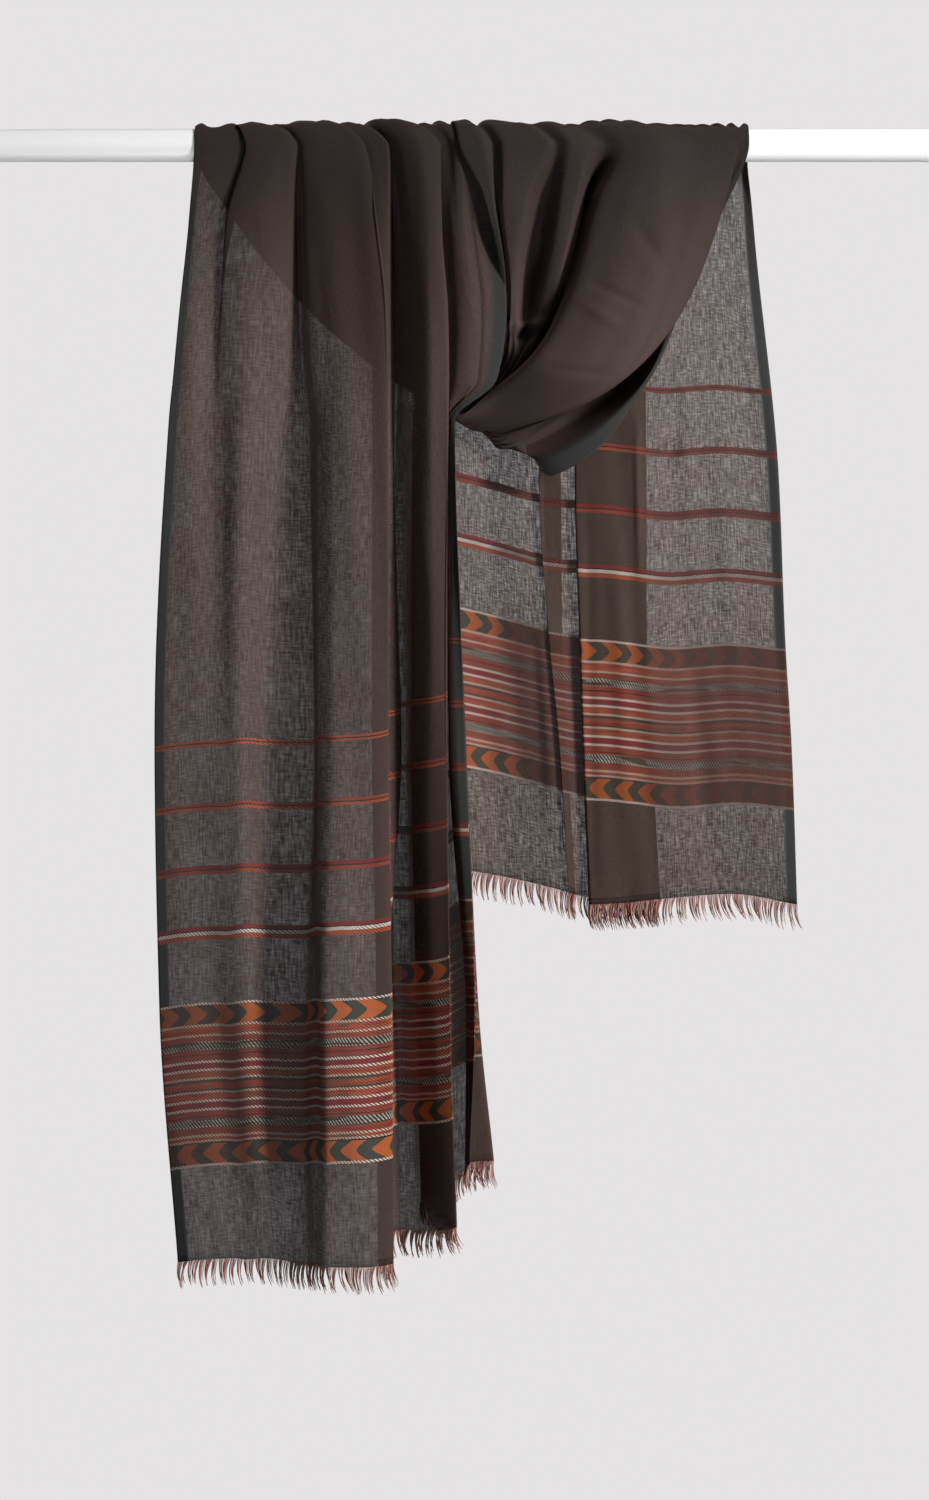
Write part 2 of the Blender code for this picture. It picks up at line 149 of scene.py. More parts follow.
FRONT_FORWARD = (
    # fold line             rod  neck  upper elbow pinch mid border hem  hem height
    ("left selvedge",      13.5,  14,   14,   12,   11,   7,    8,   8,  -846),
    ("first face",         13.5,  15,   15,   14,   13,  11,   13,  15,  -844),
    ("first inner fold",   13.9,  11,   10,   11,   12,  14,   16,  19,  -843),
    ("second outer fold",  17.0,  17,   15,   14,   14,  17,   19,  22,  -844),
    ("second face",        18.0,  21,   21,   21,   22,  23,   24,  26,  -843),
    ("second flank",       17.0,  13,    9,    7,    6,   6,   11,  19,  -845),
    ("gap before third",   14.0,  -6,   -9,   -7,   -2,   8,   22,  32,  -847),
    ("third rise",         17.0,  12,   12,   16,   20,  27,   40,  48,  -847),
    ("third shoulder",     20.0,  19,   21,   27,   33,  42,   60,  66,  -850),
    ("third crest",        21.0,  27,   31,   35,   39,  45,   64,  68,  -850),
    ("third outer fold",   19.0,  31,   39,   42,   43,  43,   58,  62,  -846),
    ("third return",       15.8,  22,   28,   31,   32,  34,   48,  52,  -841),
    ("third inner fold",   13.6,  14,   17,   19,   20,  25,   38,  42,  -835),
    ("small fold",         16.5,  14,   12,   12,   10,   0,   20,  26,  -826),
    ("gap before fourth",  14.0,  -6,  -10,  -10,  -11, -12,   -2,   4,  -821),
    ("fourth wall",        17.5,   9,    6,    6,    4,  -4,    6,   8,  -822),
    ("fourth shoulder",    22.0,  19,   18,   18,   18,  18,   18,  17,  -822),
    ("fourth crest",       25.0,  26,   29,   30,   30,  31,   31,  30,  -822),
    ("fourth outer fold",  20.0,  23,   27,   28,   29,  33,   38,  40,  -819),
    ("fourth return",      16.3,  15,   17,   18,   18,  20,   21,  23,  -810),
    ("fourth inner fold",  13.6,   3,    0,    0,    2,   4,    8,  12,  -799),
    ("fifth rise",         15.0,  12,   11,    9,    5,  -5,   -6,  -4,  -784),
    ("fifth crest",        18.5,  18,   19,   15,    3,  -7,   -7,  -5,  -769),
    ("fifth crest's back", 18.2,  15,   18, 14.8,  5.5,  -4,   -4,  -2,  -769),
    ("fifth turn",         16.5,  11,   16,   14,    7,   0,   -2,  -1,  -771),
    ("margin",             14.8,   4,   13,   12,    9,   4,    4,   6,  -772),
    ("right selvedge",     13.6,   3,   12,   10,   10,   5,    9,  14,  -772),
)
print("front fall:", len(FRONT_ACROSS), "fold lines at", len(FRONT_HEIGHTS) + 1, "heights")

# %% [markdown]
# The loop's front arm is different: its folds sweep from the right of the rod down to the middle, so
# each of its points has its own height. The big roll is the last part of the width, and the cloth
# turns under at its lip.

# %% Fold lines of the loop and of the back fall
LOOP_FOLDS = (
    # Millimetres across, up and forward:
    # on the rod, below it and halfway down,
    # then at the bend, near the bottom and at the bottom.
    ("inner selvedge", (-5, 0, 21), (15, -41, 22), (28, -109, 8),
     (25, -160, -1), (7, -190, -5), (-7, -203, -5)),
    ("strip crest", (13, 0, 20.5), (21, -41, 22), (31, -109, 10),
     (29, -158, 1), (10, -190, -4), (-6, -204, -6)),
    ("first valley", (21, 0, 14), (25, -43, 10), (33, -110, 1),
     (31, -158, -3), (12, -190, -8), (-5, -204, -10)),
    ("second crest", (31, 0, 20), (29, -42, 22), (35, -109, 12),
     (34, -156, 5), (14, -190, -6), (-4, -204, -10)),
    ("second shoulder", (61, 0, 20), (46, -42, 21), (39, -109, 9),
     (38, -154, 4), (16, -189, -7), (-3, -204, -10)),
    ("second valley", (69, 0, 16), (60, -43, 1), (49, -111, -14),
     (44, -153, -4), (18, -189, -12), (-2, -204, -13)),
    ("third crest", (81, 0, 20.5), (74, -41, 20), (60, -108, 11),
     (48, -151, 5), (21, -188, -7), (-1, -204, -12)),
    ("third edge", (91, 0, 19), (84, -41, 22), (70, -107, 16),
     (53, -150, 4), (23, -188, -8), (0, -205, -12)),
    ("third valley", (105, 0, 14), (92, -41, -10), (76, -109, -18),
     (57, -152, -20), (22, -187, -16), (-2, -205, -14)),
    ("roll shoulder", (121, 0, 19), (101, -41, 21), (79, -109, 25),
     (55, -154, 23), (17, -189, 2), (-8, -206, -7)),
    ("roll crest", (144, 0, 21), (144, -45, 33), (124, -117, 44),
     (92, -170, 38), (34, -200, 4), (0, -211, -15)),
    ("roll flank", (178, 0, 15), (172, -49, 26), (151, -121, 38),
     (119, -174, 38), (58, -208, 9), (10, -216, -18)),
    ("roll lip", (206, 0, 14), (194, -51, 16), (168, -119, 22),
     (134, -165, 31), (84, -199, 16), (22, -219, -16)),
    ("inner fold", (207, 0, 13.8), (140, -52, 9), (108, -122, 12),
     (76, -170, 12), (46, -206, -4), (25, -226, -19)),
    ("hidden fold", (209, 0, 13.7), (178, -53, 7), (146, -122, 8),
     (112, -172, 8), (66, -209, -8), (30, -228, -19)),
    ("second inner fold", (210, 0, 13.7), (142, -54, 4), (112, -124, 3),
     (82, -173, 2), (52, -210, -13), (28, -230, -21)),
    ("cavity", (211, 0, 13.6), (178, -55, 1), (148, -125, -4),
     (124, -176, -8), (86, -207, -22), (37, -230, -23)),
    ("lower roll", (213, 0, 13.6), (189, -56, 6), (162, -126, 11),
     (141, -174, 20), (99, -218, 17), (58, -239, 4)),
    ("outer selvedge", (215, 0, 13.5), (195, -53, 2), (166, -122, -4),
     (142, -167, 4), (106, -224, 6), (66, -249, -4)),
)
# The last fold line before the roll, up to which narrow gathers take up the width.
GATHERED_UP_TO = "third valley"

# How the loop's back arm leaves the rod and arrives at the bottom, in millimetres.
BACK_ARM = (
    # share of the width, (across, back, up) on leaving, (across, back, up) before arriving
    (0.00, (39, 6, -100), (-48, 14, 16)),
    (0.35, (40, 7, -108), (-38, 14, 40)),
    (1.00, (10, 8, -150), (-14, 16, 6)),
)
BACK_ARM_PLACES = (0.2, 0.4, 0.6, 0.8)

BACK_HEIGHTS = (-60, -249, -375, -458)

BACK_ACROSS = (
    # fold line              neck upper waist border hem
    ("left selvedge",         -24,  -19,  -15,  -10,   -4),
    ("left face",              16,   19,   25,   31,   36),
    ("before first pleat",     45,   50,   57,   63,   69),
    ("first inner fold",       68,   73,   74,   78,   84),
    ("first outer fold",       57,   56,   64,   72,   79),
    ("between pleats",         72,   77,   80,   84,   91),
    ("second inner fold",     134,  137,  138,  142,  148),
    ("second inner turn",     133,  136,  137,  141,  147),
    ("second outer fold",      84,   83,   87,   90,   95),
    ("second outer turn",      85,   84,   88,   91,   96),
    ("pleat face",            107,  109,  112,  114,  118),
    ("pleat end",             137,  137,  139,  142,  147),
    ("right face",            178,  186,  192,  197,  203),
    ("right selvedge",        219,  238,  243,  248,  252),
)

BACK_BEHIND = (
    # fold line               neck upper waist border hem  hem height
    ("left selvedge",          26,  28,  26,  24,  22,  -548),
    ("left face",              29,  34,  37,  37,  33,  -555),
    ("before first pleat",     33,  34,  28,  26,  26,  -563),
    ("first inner fold",       34,  36,  32,  30,  29,  -567),
    ("first outer fold",       29,  31,  26,  23,  23,  -566),
    ("between pleats",         28,  31,  30,  29,  28,  -569),
    ("second inner fold",      32,  35,  33,  32,  30,  -572),
    ("second inner turn",      29,  32,  30,  29,  27,  -572),
    ("second outer fold",      25,  28,  26,  25,  23,  -575),
    ("second outer turn",      22,  25,  23,  22,  20,  -575),
    ("pleat face",             20,  23,  21,  20,  19,  -574),
    ("pleat end",              18,  22,  20,  19,  18,  -571),
    ("right face",             18,  24,  25,  23,  20,  -567),
    ("right selvedge",         15,  20,  22,  20,  18,  -575),
)
print("loop:", len(LOOP_FOLDS), "fold lines; back fall:", len(BACK_ACROSS))

# %% [markdown]
# ## From fold lines to cloth
#
# Fold lines are joined with a curve that never overshoots its points. An ordinary spline swings past
# a sharp fold and would push one layer of a pleat through the next.

# %% A curve that never overshoots
def smooth(knots, values, wanted):
    """Read a smooth curve, which never overshoots, through the values given at the knots."""
    knots, values, wanted = [np.asarray(part, float) for part in (knots, values, wanted)]
    shape = (-1,) + (1,) * (values.ndim - 1)
    steps = np.diff(knots).reshape(shape)
    slopes = np.diff(values, axis=0) / steps
    before, after = 2 * steps[1:] + steps[:-1], steps[1:] + 2 * steps[:-1]
    turning = slopes[:-1] * slopes[1:] <= 0
    safe_before = np.where(turning, 1.0, slopes[:-1])
    safe_after = np.where(turning, 1.0, slopes[1:])
    inner = np.where(turning, 0.0, (before + after) / (before / safe_before + after / safe_after))
    tangents = np.concatenate([slopes[:1], inner, slopes[-1:]])
    cell = np.clip(np.searchsorted(knots, wanted, side="right") - 1, 0, len(steps) - 1)
    width = steps[cell]
    t = (wanted - knots[cell]).reshape(shape) / width
    start = (1 + 2 * t) * (1 - t) ** 2 * values[cell] + t * (1 - t) ** 2 * width * tangents[cell]
    end = t ** 2 * (3 - 2 * t) * values[cell + 1] + t ** 2 * (t - 1) * width * tangents[cell + 1]
    return start + end


def places_along(points):
    """The share of a line's length at each of its points, from 0 to 1."""
    lengths = np.concatenate([[0.0], np.cumsum(np.linalg.norm(np.diff(points, axis=0), axis=1))])
    return lengths / lengths[-1]


print("halfway along a smooth step:", smooth((0, 1), (0, 1), (0.5,)))

# %% [markdown]
# A row is the cloth followed straight across. The rows of the two falls come from the tables. Over the
# rod the rows turn round its axis, and the folds spread out evenly by the time they reach its back.
# There the width that is left over lies in narrow gathers, out of sight. The loop's back arm is a
# curve from the rod to the loop's bottom.

# %% Rows of each part
CLOTH_THICKNESS = 0.0005
ROD_CLEARANCE = 0.0008
LAYER_RADIUS = ROD_DIAMETER / 2 + CLOTH_THICKNESS / 2 + ROD_CLEARANCE
CROSSING_ANGLES = (15, 30, 45, 60, 75, 90, 105, 120, 135, 150, 165, 180)
FIRST_LANDING = (-204, -16)
SECOND_LANDING = (-14, 215)
# The share of the way over the rod from which nobody sees the cloth, so that it can gather there.
HIDDEN_FROM = 0.40
GATHERS = 15
GATHER_FADE = 0.04
# How far the gathers drift from even places, and how much their depth changes: amount, waves, start.
GATHER_DRIFT = (0.3, 1.7, 0.8)
GATHER_UNEVEN = (0.15, 2.3, 1.1)
# How deep the gathers are in metres, at each crossing and at the rows of the loop's two arms. The
# front arm's rows go from the loop's bottom up, and the roll takes up a share of their depth.
FIRST_GATHER = 0.0145
SECOND_GATHER = 0.0155
BACK_ARM_GATHERS = (0.0145, 0.0155, 0.0180, 0.0195)
LOOP_GATHERS = (0.015, 0.012, 0.002, 0.0, 0.0, 0.0)
ROLL_GATHERS = (0.12, 0.0, 0.0, 0.0, 0.0, 0.0)


def falling_rows(across_table, depth_table, heights, side):
    """The rows of a fall from the rod to its hem. side is -1 in front of the rod and +1 behind it."""
    across = np.array([row[1:] for row in across_table], float) * MM
    depth = np.array([row[1:-1] for row in depth_table], float) * MM * side
    hem = np.array([row[-1] for row in depth_table], float) * MM
    rows = [np.column_stack([across[:, i], depth[:, i], np.full(len(hem), height * MM)])
            for i, height in enumerate(heights)]
    return rows + [np.column_stack([across[:, -1], depth[:, -1], hem])]


def gathers(columns):
    """Narrow uneven folds across the width, from 0 on a crest to 1 at the bottom of a fold."""
    drift, uneven = [amount * np.sin(2 * math.pi * waves * columns + start)
                     for amount, waves, start in (GATHER_DRIFT, GATHER_UNEVEN)]
    turn = GATHERS * columns + drift
    return (1 - GATHER_UNEVEN[0] + uneven) * (1 - np.cos(2 * math.pi * turn)) / 2


def crossing_rows(front, landing, columns, depth):
    """The rows over the top of the rod: the front row's folds spread out and gather by its back."""
    rows = []
    spread = (landing[0] + (landing[1] - landing[0]) * columns) * MM
    for degrees in CROSSING_ANGLES:
        share = degrees / 180
        angle = math.radians(degrees)
        across = front[:, 0] * (1 - share) + spread * share
        radius = -front[:, 1] * (1 - share) + LAYER_RADIUS * share
        hidden = max(0.0, share - HIDDEN_FROM) / (1 - HIDDEN_FROM)
        radius = radius + depth * hidden * gathers(columns)
        rows.append(np.column_stack([across, -radius * math.cos(angle), radius * math.sin(angle)]))
    return rows


def back_arm_rows(top, bottom, columns):
    """The rows of the loop's back arm, from the rod to its bottom, between the two given rows."""
    shares = [row[0] for row in BACK_ARM]
    leaving = top + smooth(shares, np.array([row[1] for row in BACK_ARM]) * MM, columns)
    arriving = bottom + smooth(shares, np.array([row[2] for row in BACK_ARM]) * MM, columns)
    rows = []
    for t, depth in zip(BACK_ARM_PLACES, BACK_ARM_GATHERS):
        row = (1 - t) ** 3 * top + 3 * (1 - t) ** 2 * t * leaving
        row += 3 * (1 - t) * t ** 2 * arriving + t ** 3 * bottom
        row[:, 1] += depth * gathers(columns)
        rows.append(row)
    return rows


FRONT_FALL = falling_rows(FRONT_ACROSS, FRONT_FORWARD, FRONT_HEIGHTS, side=-1)
BACK_FALL = falling_rows(BACK_ACROSS, BACK_BEHIND, BACK_HEIGHTS, side=1)
LOOP_ARM = [np.array([(fold[level][0], -fold[level][2], fold[level][1]) for fold in LOOP_FOLDS]) * MM
            for level in range(1, len(LOOP_FOLDS[0]))]
FRONT_PLACES = places_along(FRONT_FALL[-1])
LOOP_PLACES = places_along(LOOP_ARM[1])
BACK_PLACES = places_along(BACK_FALL[-1])
print("rows from the tables:", len(FRONT_FALL), "front,", len(LOOP_ARM), "loop,", len(BACK_FALL), "back")

# %% [markdown]
# The whole stole is one list of rows: up the front fall and over the rod, down the loop's back arm
# and up its front arm, over the rod again, and down the back fall.

# %% The stole's rows
def stole_rows(columns):
    """The stole's rows at the given shares of its width, from its front hem to its back hem."""
    front = [smooth(FRONT_PLACES, row, columns) for row in FRONT_FALL[::-1]]
    landed = crossing_rows(front[-1], FIRST_LANDING, columns, depth=0.0)[-1]
    front += crossing_rows(front[-1], FIRST_LANDING, columns, FIRST_GATHER)
    arm = [smooth(LOOP_PLACES, row, columns) for row in LOOP_ARM[::-1]]
    back_arm = back_arm_rows(landed, arm[0], columns)
    names = [fold[0] for fold in LOOP_FOLDS]
    last = LOOP_PLACES[names.index(GATHERED_UP_TO)]
    for row, depth, on_roll in zip(arm, LOOP_GATHERS, ROLL_GATHERS):
        share = np.clip((last - columns) / GATHER_FADE + 0.5, on_roll, 1)
        row[:, 1] += depth * share * gathers(columns)
    arm += crossing_rows(arm[-1], SECOND_LANDING, columns, SECOND_GATHER)
    back = [smooth(BACK_PLACES, row, columns) for row in BACK_FALL]
    return np.array(front + back_arm + arm + back)


FRONT_ROWS = len(FRONT_HEIGHTS) + len(CROSSING_ANGLES)
LOOP_BACK_ROWS = 2
SWAG_ROWS = len(BACK_ARM_PLACES) - LOOP_BACK_ROWS + len(LOOP_ARM) + len(CROSSING_ANGLES)
BACK_ROWS = len(BACK_FALL)
ROW_COUNTS = (FRONT_ROWS, LOOP_BACK_ROWS, SWAG_ROWS, BACK_ROWS)
print("rows:", ROW_COUNTS, "of", len(stole_rows(np.linspace(0, 1, 3))))

# %% [markdown]
# ## A grid for each stretch
#
# Folds turn sharply across the cloth and gently along it, so the columns are close together,
# and closest where fold lines crowd. The camera is four metres off, so what stands forward looks a
# little larger. The tables were read as seen against the rod, and each point is drawn back along its
# line of sight by that much, so that the folds keep their places in the picture.

# %% Grids with the cloth's own measurements
COLUMNS_FOR_EACH_FOLD = 4
COLUMN_SPACING = 0.006
SIGHT_FADE_TOP = -0.015
SIGHT_FADE_DEPTH = 0.045


def close_columns(places):
    """Shares of the width with more columns where the fold lines crowd."""
    cuts = [np.linspace(a, b, COLUMNS_FOR_EACH_FOLD + round((b - a) / COLUMN_SPACING), endpoint=False)
            for a, b in zip(places[:-1], places[1:])]
    return np.concatenate(cuts + [[places[-1]]])


def along_sight(points):
    """Points drawn along their line of sight, so that they look as far off as the rod."""
    seen = np.clip((SIGHT_FADE_TOP - points[..., 2]) / SIGHT_FADE_DEPTH, 0, 1)
    shrink = 1 + seen * points[..., 1] / CAMERA_DISTANCE
    moved = points.copy()
    moved[..., 0] *= shrink
    moved[..., 2] = CAMERA_HEIGHT + (points[..., 2] - CAMERA_HEIGHT) * shrink
    return moved


def stretch(places, first, count, spacing):
    """One stretch from its first row on: its grid, its columns' shares and the distance along it."""
    columns = close_columns(places)
    rows = stole_rows(columns)
    travel = np.linalg.norm(np.diff(rows, axis=0), axis=2).mean(axis=1)
    knots = np.concatenate([[0.0], np.cumsum(travel)])
    steps = round((knots[first + count] - knots[first]) / spacing)
    grid = along_sight(smooth(knots, rows, np.linspace(knots[first], knots[first + count], steps + 1)))
    walked = np.linalg.norm(np.diff(grid, axis=0), axis=2)
    walked = np.concatenate([np.zeros((1, len(columns))), np.cumsum(walked, axis=0)])
    return grid, columns, walked


STRETCHES = (
    # stretch, where its fold lines are, how many rows of the stole it takes, spacing of its own rows
    ("front", FRONT_PLACES, FRONT_ROWS, 0.0052),
    ("loop back", LOOP_PLACES, LOOP_BACK_ROWS, 0.0040),
    ("swag", LOOP_PLACES, SWAG_ROWS, 0.0026),
    ("back", BACK_PLACES, BACK_ROWS, 0.0052),
)
grids, shares_of, walked_on = {}, {}, {}
first_row = 0
for name, places, count, spacing in STRETCHES:
    grids[name], shares_of[name], walked_on[name] = stretch(places, first_row, count, spacing)
    first_row += count
# The back fall's distances are counted from its hem as well.
walked_on["back"] = walked_on["back"][-1] - walked_on["back"]
print("rows and columns:", {name: grid.shape[:2] for name, grid in grids.items()})

# %% [markdown]
# ## Creases
#
# Wool that was packed flat keeps its creases, and a draped cloth wrinkles where it turns. Each
# crease is a soft trough or ridge, given one by one with its own ends, width and depth, and no two are
# alike. Long shallow sways run down the whole cloth as well, because hanging cloth is never quite even.

# %% Creases and sways
FRONT_CREASES = (
    # name            from (across, up)  to (across, up)  width  depth, all in millimetres
    ("packing line",     (-236, -348),    (-176, -349),    1.7,  -0.9),
    ("packing line",     (-176, -349),    (-112, -354),    1.7,  -0.7),
    ("short packing",    (-236, -363),    (-201, -364),    1.5,  -0.6),
    ("neck wrinkle",     (-203,  -40),    (-196, -110),    5.0,   1.3),
    ("shoulder wrinkle", (-160,  -60),    (-148, -190),    6.0,  -1.4),
    ("long ripple",      (-172, -210),    (-180, -520),    9.0,   2.0),
    ("long trough",      (-146, -260),    (-148, -600),    8.0,  -2.2),
    ("low ripple",       (-100, -560),    (-104, -760),    7.0,   1.8),
    ("fourth wrinkle",    (-34, -240),     (-30, -330),    4.0,   1.2),
    ("hem ripple",       (-150, -790),    (-120, -842),    8.0,   1.6),
)
SWAG_CREASES = (
    ("folded edge",        (31, -137),      (60, -135),    3.2,   2.4),
    ("under the edge",     (33, -146),      (57, -143),    3.6,  -2.4),
    ("roll wrinkle",       (96, -108),     (134, -126),    3.0,  -1.6),
    ("roll's second",      (88, -122),     (118, -141),    4.0,   1.4),
    ("shoulder dimple",   (128,  -62),     (150,  -96),    6.0,  -1.8),
    ("long soft crest",   (166,  -40),     (128, -150),    9.0,   1.6),
    ("low wrinkle",        (66, -172),     (110, -176),    3.4,  -1.5),
)
BACK_CREASES = (
    ("right trough",      (163, -190),     (157, -260),    6.0,  -2.6),
    ("right ripple",      (196, -150),     (205, -420),    9.0,   1.8),
    ("left ripple",        (28, -300),      (36, -520),    8.0,   1.8),
    ("pleat ripple",      (118, -300),     (122, -560),    7.0,   1.4),
    ("low ripple",        (176, -400),     (186, -570),    8.0,  -1.6),
    ("pleat ridge",       (131, -205),     (133, -322),    2.2,   2.0),
    ("pleat's shaded edge", (93, -270),     (98, -560),    5.0,  -1.8),
    ("left shade",         (50, -250),      (58, -540),    8.0,  -3.2),
)
SWAYS = (
    # across and along wavelengths, depth, turn at the start
    (0.083, 0.61, 0.0007, 0.4),
    (0.047, 0.43, 0.0004, 2.1),
    (0.029, 0.37, 0.0003, 4.4),
)
CREASES_BELOW = -0.020
CREASE_FADE = 0.030
CREASE_END = 0.12


def turned_out(grid):
    """The unit direction out of the sheet at each point of the grid."""
    along, across = np.gradient(grid, axis=0), np.gradient(grid, axis=1)
    out = np.cross(across, along)
    return out / np.maximum(np.linalg.norm(out, axis=2, keepdims=True), 1e-12)


def creased(name, creases, side):
    """A stretch's grid with creases and sways. side is 1 if the grid's own out is forward."""
    grid, walked = grids[name], walked_on[name]
    seen = grid[..., [0, 2]]
    lift = np.zeros(walked.shape)
    for crease, start, end, width, depth in creases:
        start, end = np.array(start) * MM, np.array(end) * MM
        reach = end - start
        share = np.clip(((seen - start) @ reach) / (reach @ reach), 0, 1)
        aside = np.linalg.norm(seen - (start + share[..., None] * reach), axis=2)
        swell = np.sin(math.pi * (CREASE_END + (1 - 2 * CREASE_END) * share))
        lift += side * depth * MM * swell * np.exp(-((aside / (width * MM)) ** 2))
    across = shares_of[name] * CLOTH_WIDTH
    for wide, long, depth, turn in SWAYS:
        lift += depth * np.sin(2 * math.pi * (across / wide + walked / long) + turn)
    lift *= np.clip((CREASES_BELOW - grid[..., 2]) / CREASE_FADE, 0, 1)
    return grid + turned_out(grid) * lift[..., None]


for name, creases, side in (("front", FRONT_CREASES, 1), ("swag", SWAG_CREASES, 1),
                            ("back", BACK_CREASES, -1)):
    grids[name] = creased(name, creases, side)
    print(name, "has", len(creases), "creases and", len(SWAYS), "sways")

# %% [markdown]
# ## Sheets
#
# A sheet is an open surface with a Solidify wall half a millimetre thick. It carries two UV maps, both
# in metres. One measures a thread's place from the left selvedge and from the hem, or from the first
# row where a stretch has no hem, and the weave follows it. The other is shifted a little along the
# hem, because a hand-woven border never keeps quite the same distance from its hem.

# %% Make the sheets
FRONT_BORDER_SLIPS = (
    # share of the width, and how much further the border lies from the hem there, in millimetres
    (0.00, 0), (0.10, 1), (0.21, 4), (0.36, 8), (0.50, 9), (0.68, 11), (0.82, 11), (1.00, 8),
)
BACK_BORDER_SLIPS = ((0.00, 10), (0.25, 7), (0.50, 12), (0.62, 9), (0.80, -3), (1.00, 2))
NO_SLIPS = ((0.00, 0), (1.00, 0))


def sheet(name, stretch_name, slips):
    """A thin sheet through a stretch's grid, with its two UV maps."""
    grid, columns, walked = grids[stretch_name], shares_of[stretch_name], walked_on[stretch_name]
    slip = smooth([row[0] for row in slips], np.array([row[1] for row in slips], float) * MM, columns)
    rows, count = walked.shape
    faces = [(r * count + c, r * count + c + 1, (r + 1) * count + c + 1, (r + 1) * count + c)
             for r in range(rows - 1) for c in range(count - 1)]
    mesh = bpy.data.meshes.new(name)
    mesh.from_pydata(grid.reshape(-1, 3).tolist(), [], faces)
    corners = np.zeros(len(mesh.loops), np.int32)
    mesh.loops.foreach_get("vertex_index", corners)
    across = np.broadcast_to(columns * CLOTH_WIDTH, walked.shape).ravel()
    for layer, along in (("weave", walked), ("border", walked - slip)):
        places = np.column_stack([across, along.ravel()])[corners]
        mesh.uv_layers.new(name=layer).data.foreach_set("uv", places.astype(np.float32).ravel())
    mesh.shade_smooth()
    made = placed(name, mesh)
    wall = made.modifiers.new("wall", "SOLIDIFY")
    wall.thickness = CLOTH_THICKNESS
    wall.offset = 0.0
    print(name, len(mesh.polygons) * 4, "triangles")
    return made


front_fall = sheet("front_fall_cloth", "front", FRONT_BORDER_SLIPS)
back_fall = sheet("back_fall_cloth", "back", BACK_BORDER_SLIPS)
swag = sheet("swag_cloth", "swag", NO_SLIPS)
loop_back = sheet("loop_back_cloth", "loop back", NO_SLIPS)

# %% [markdown]
# ## Wires between nodes
#
# Node trees are easier to read as sums. The small class below stands for a node's output, so that
# adding, scaling or comparing two wires adds the Math node that does it. The helper named added makes
# any other node in one call, with wires or plain values on its inputs.

# %% Wires
class Wire:
    """A node's output. Arithmetic and comparison of wires and numbers add Math nodes."""

    def __init__(self, socket):
        self.socket = socket

    def __add__(self, other):
        return maths("ADD", self, other)

    def __sub__(self, other):
        return maths("SUBTRACT", self, other)

    def __rsub__(self, other):
        return maths("SUBTRACT", other, self)

    def __mul__(self, other):
        return maths("MULTIPLY", self, other)

    def __truediv__(self, other):
        return maths("DIVIDE", self, other)

    def __gt__(self, other):
        return maths("GREATER_THAN", self, other)

    def __lt__(self, other):
        return maths("LESS_THAN", self, other)


def wire(node, name=0):
    """One of a node's outputs, by its name or number."""
    return Wire(node.outputs[name])


def joined(start, end):
    """Link a wire to an input, or set the input to a plain value."""
    if isinstance(start, Wire):
        end.id_data.links.new(start.socket, end)
    else:
        end.default_value = start


def tree_of(*wires):
    """The node tree of the first wire among some wires and plain values."""
    return next(w for w in wires if isinstance(w, Wire)).socket.id_data


def added(tree, kind, inputs=(), **settings):
    """A node of that kind with its settings, and with wires or values on its inputs."""
    made = tree.nodes.new(kind)
    for key, value in settings.items():
        setattr(made, key, value)
    for name, value in dict(inputs).items():
        joined(value, made.inputs[name])
    return made


def maths(operation, first, second=0.0):
    """A Math node's result."""
    made = added(tree_of(first, second), "ShaderNodeMath", operation=operation)
    joined(first, made.inputs[0])
    joined(second, made.inputs[1])
    return wire(made)


print("wires can be joined by + - * / > <")

# %% [markdown]
# Four more helpers serve every tree: one moves a value from a range to another, and the others add
# soft noise, a random number, and an empty group with its named sockets.

# %% Ranges, noise, random numbers and groups
def mapped(value, low, high, at_low=0.0, at_high=1.0, kind="LINEAR"):
    """A value moved from one range to another and held within it."""
    ends = {"Value": value, "From Min": low, "From Max": high, "To Min": at_low, "To Max": at_high}
    return wire(added(tree_of(value), "ShaderNodeMapRange", ends, interpolation_type=kind), "Result")


def noise(across, along=None, detail=2.0, roughness=0.5):
    """Soft noise from 0 to 1 along one wire, or over two. A step of 1 on a wire is about one patch."""
    tree = tree_of(across)
    place, dimensions = {"W": across}, "1D"
    if along is not None:
        flat = added(tree, "ShaderNodeCombineXYZ", {"X": across, "Y": along})
        place, dimensions = {"Vector": wire(flat, "Vector")}, "2D"
    looks = {"Scale": 1.0, "Detail": detail, "Roughness": roughness}
    return wire(added(tree, "ShaderNodeTexNoise", {**place, **looks}, noise_dimensions=dimensions))


def random_value(tree, low, high, seed, shared_by=None):
    """A random number between two limits, for each point or for each number in shared_by."""
    made = added(tree, "FunctionNodeRandomValue", {"Seed": seed}, data_type="FLOAT")
    least, most = [s for s in made.inputs if s.type == "VALUE"][:2]
    least.default_value, most.default_value = low, high
    if shared_by is not None:
        joined(shared_by, made.inputs["ID"])
    return Wire(next(s for s in made.outputs if s.type == "VALUE"))


def new_group(name, kind, inputs, outputs):
    """An empty node group with its named sockets. Returns it with its input and its output node."""
    group = bpy.data.node_groups.new(name, kind)
    for label, content, *value in inputs:
        made = group.interface.new_socket(label, in_out="INPUT", socket_type="NodeSocket" + content)
        if value:
            made.default_value = value[0]
    for label, content in outputs:
        group.interface.new_socket(label, in_out="OUTPUT", socket_type="NodeSocket" + content)
    return group, added(group, "NodeGroupInput"), added(group, "NodeGroupOutput")


print("helpers:", [helper.__name__ for helper in (mapped, noise, random_value, new_group)])

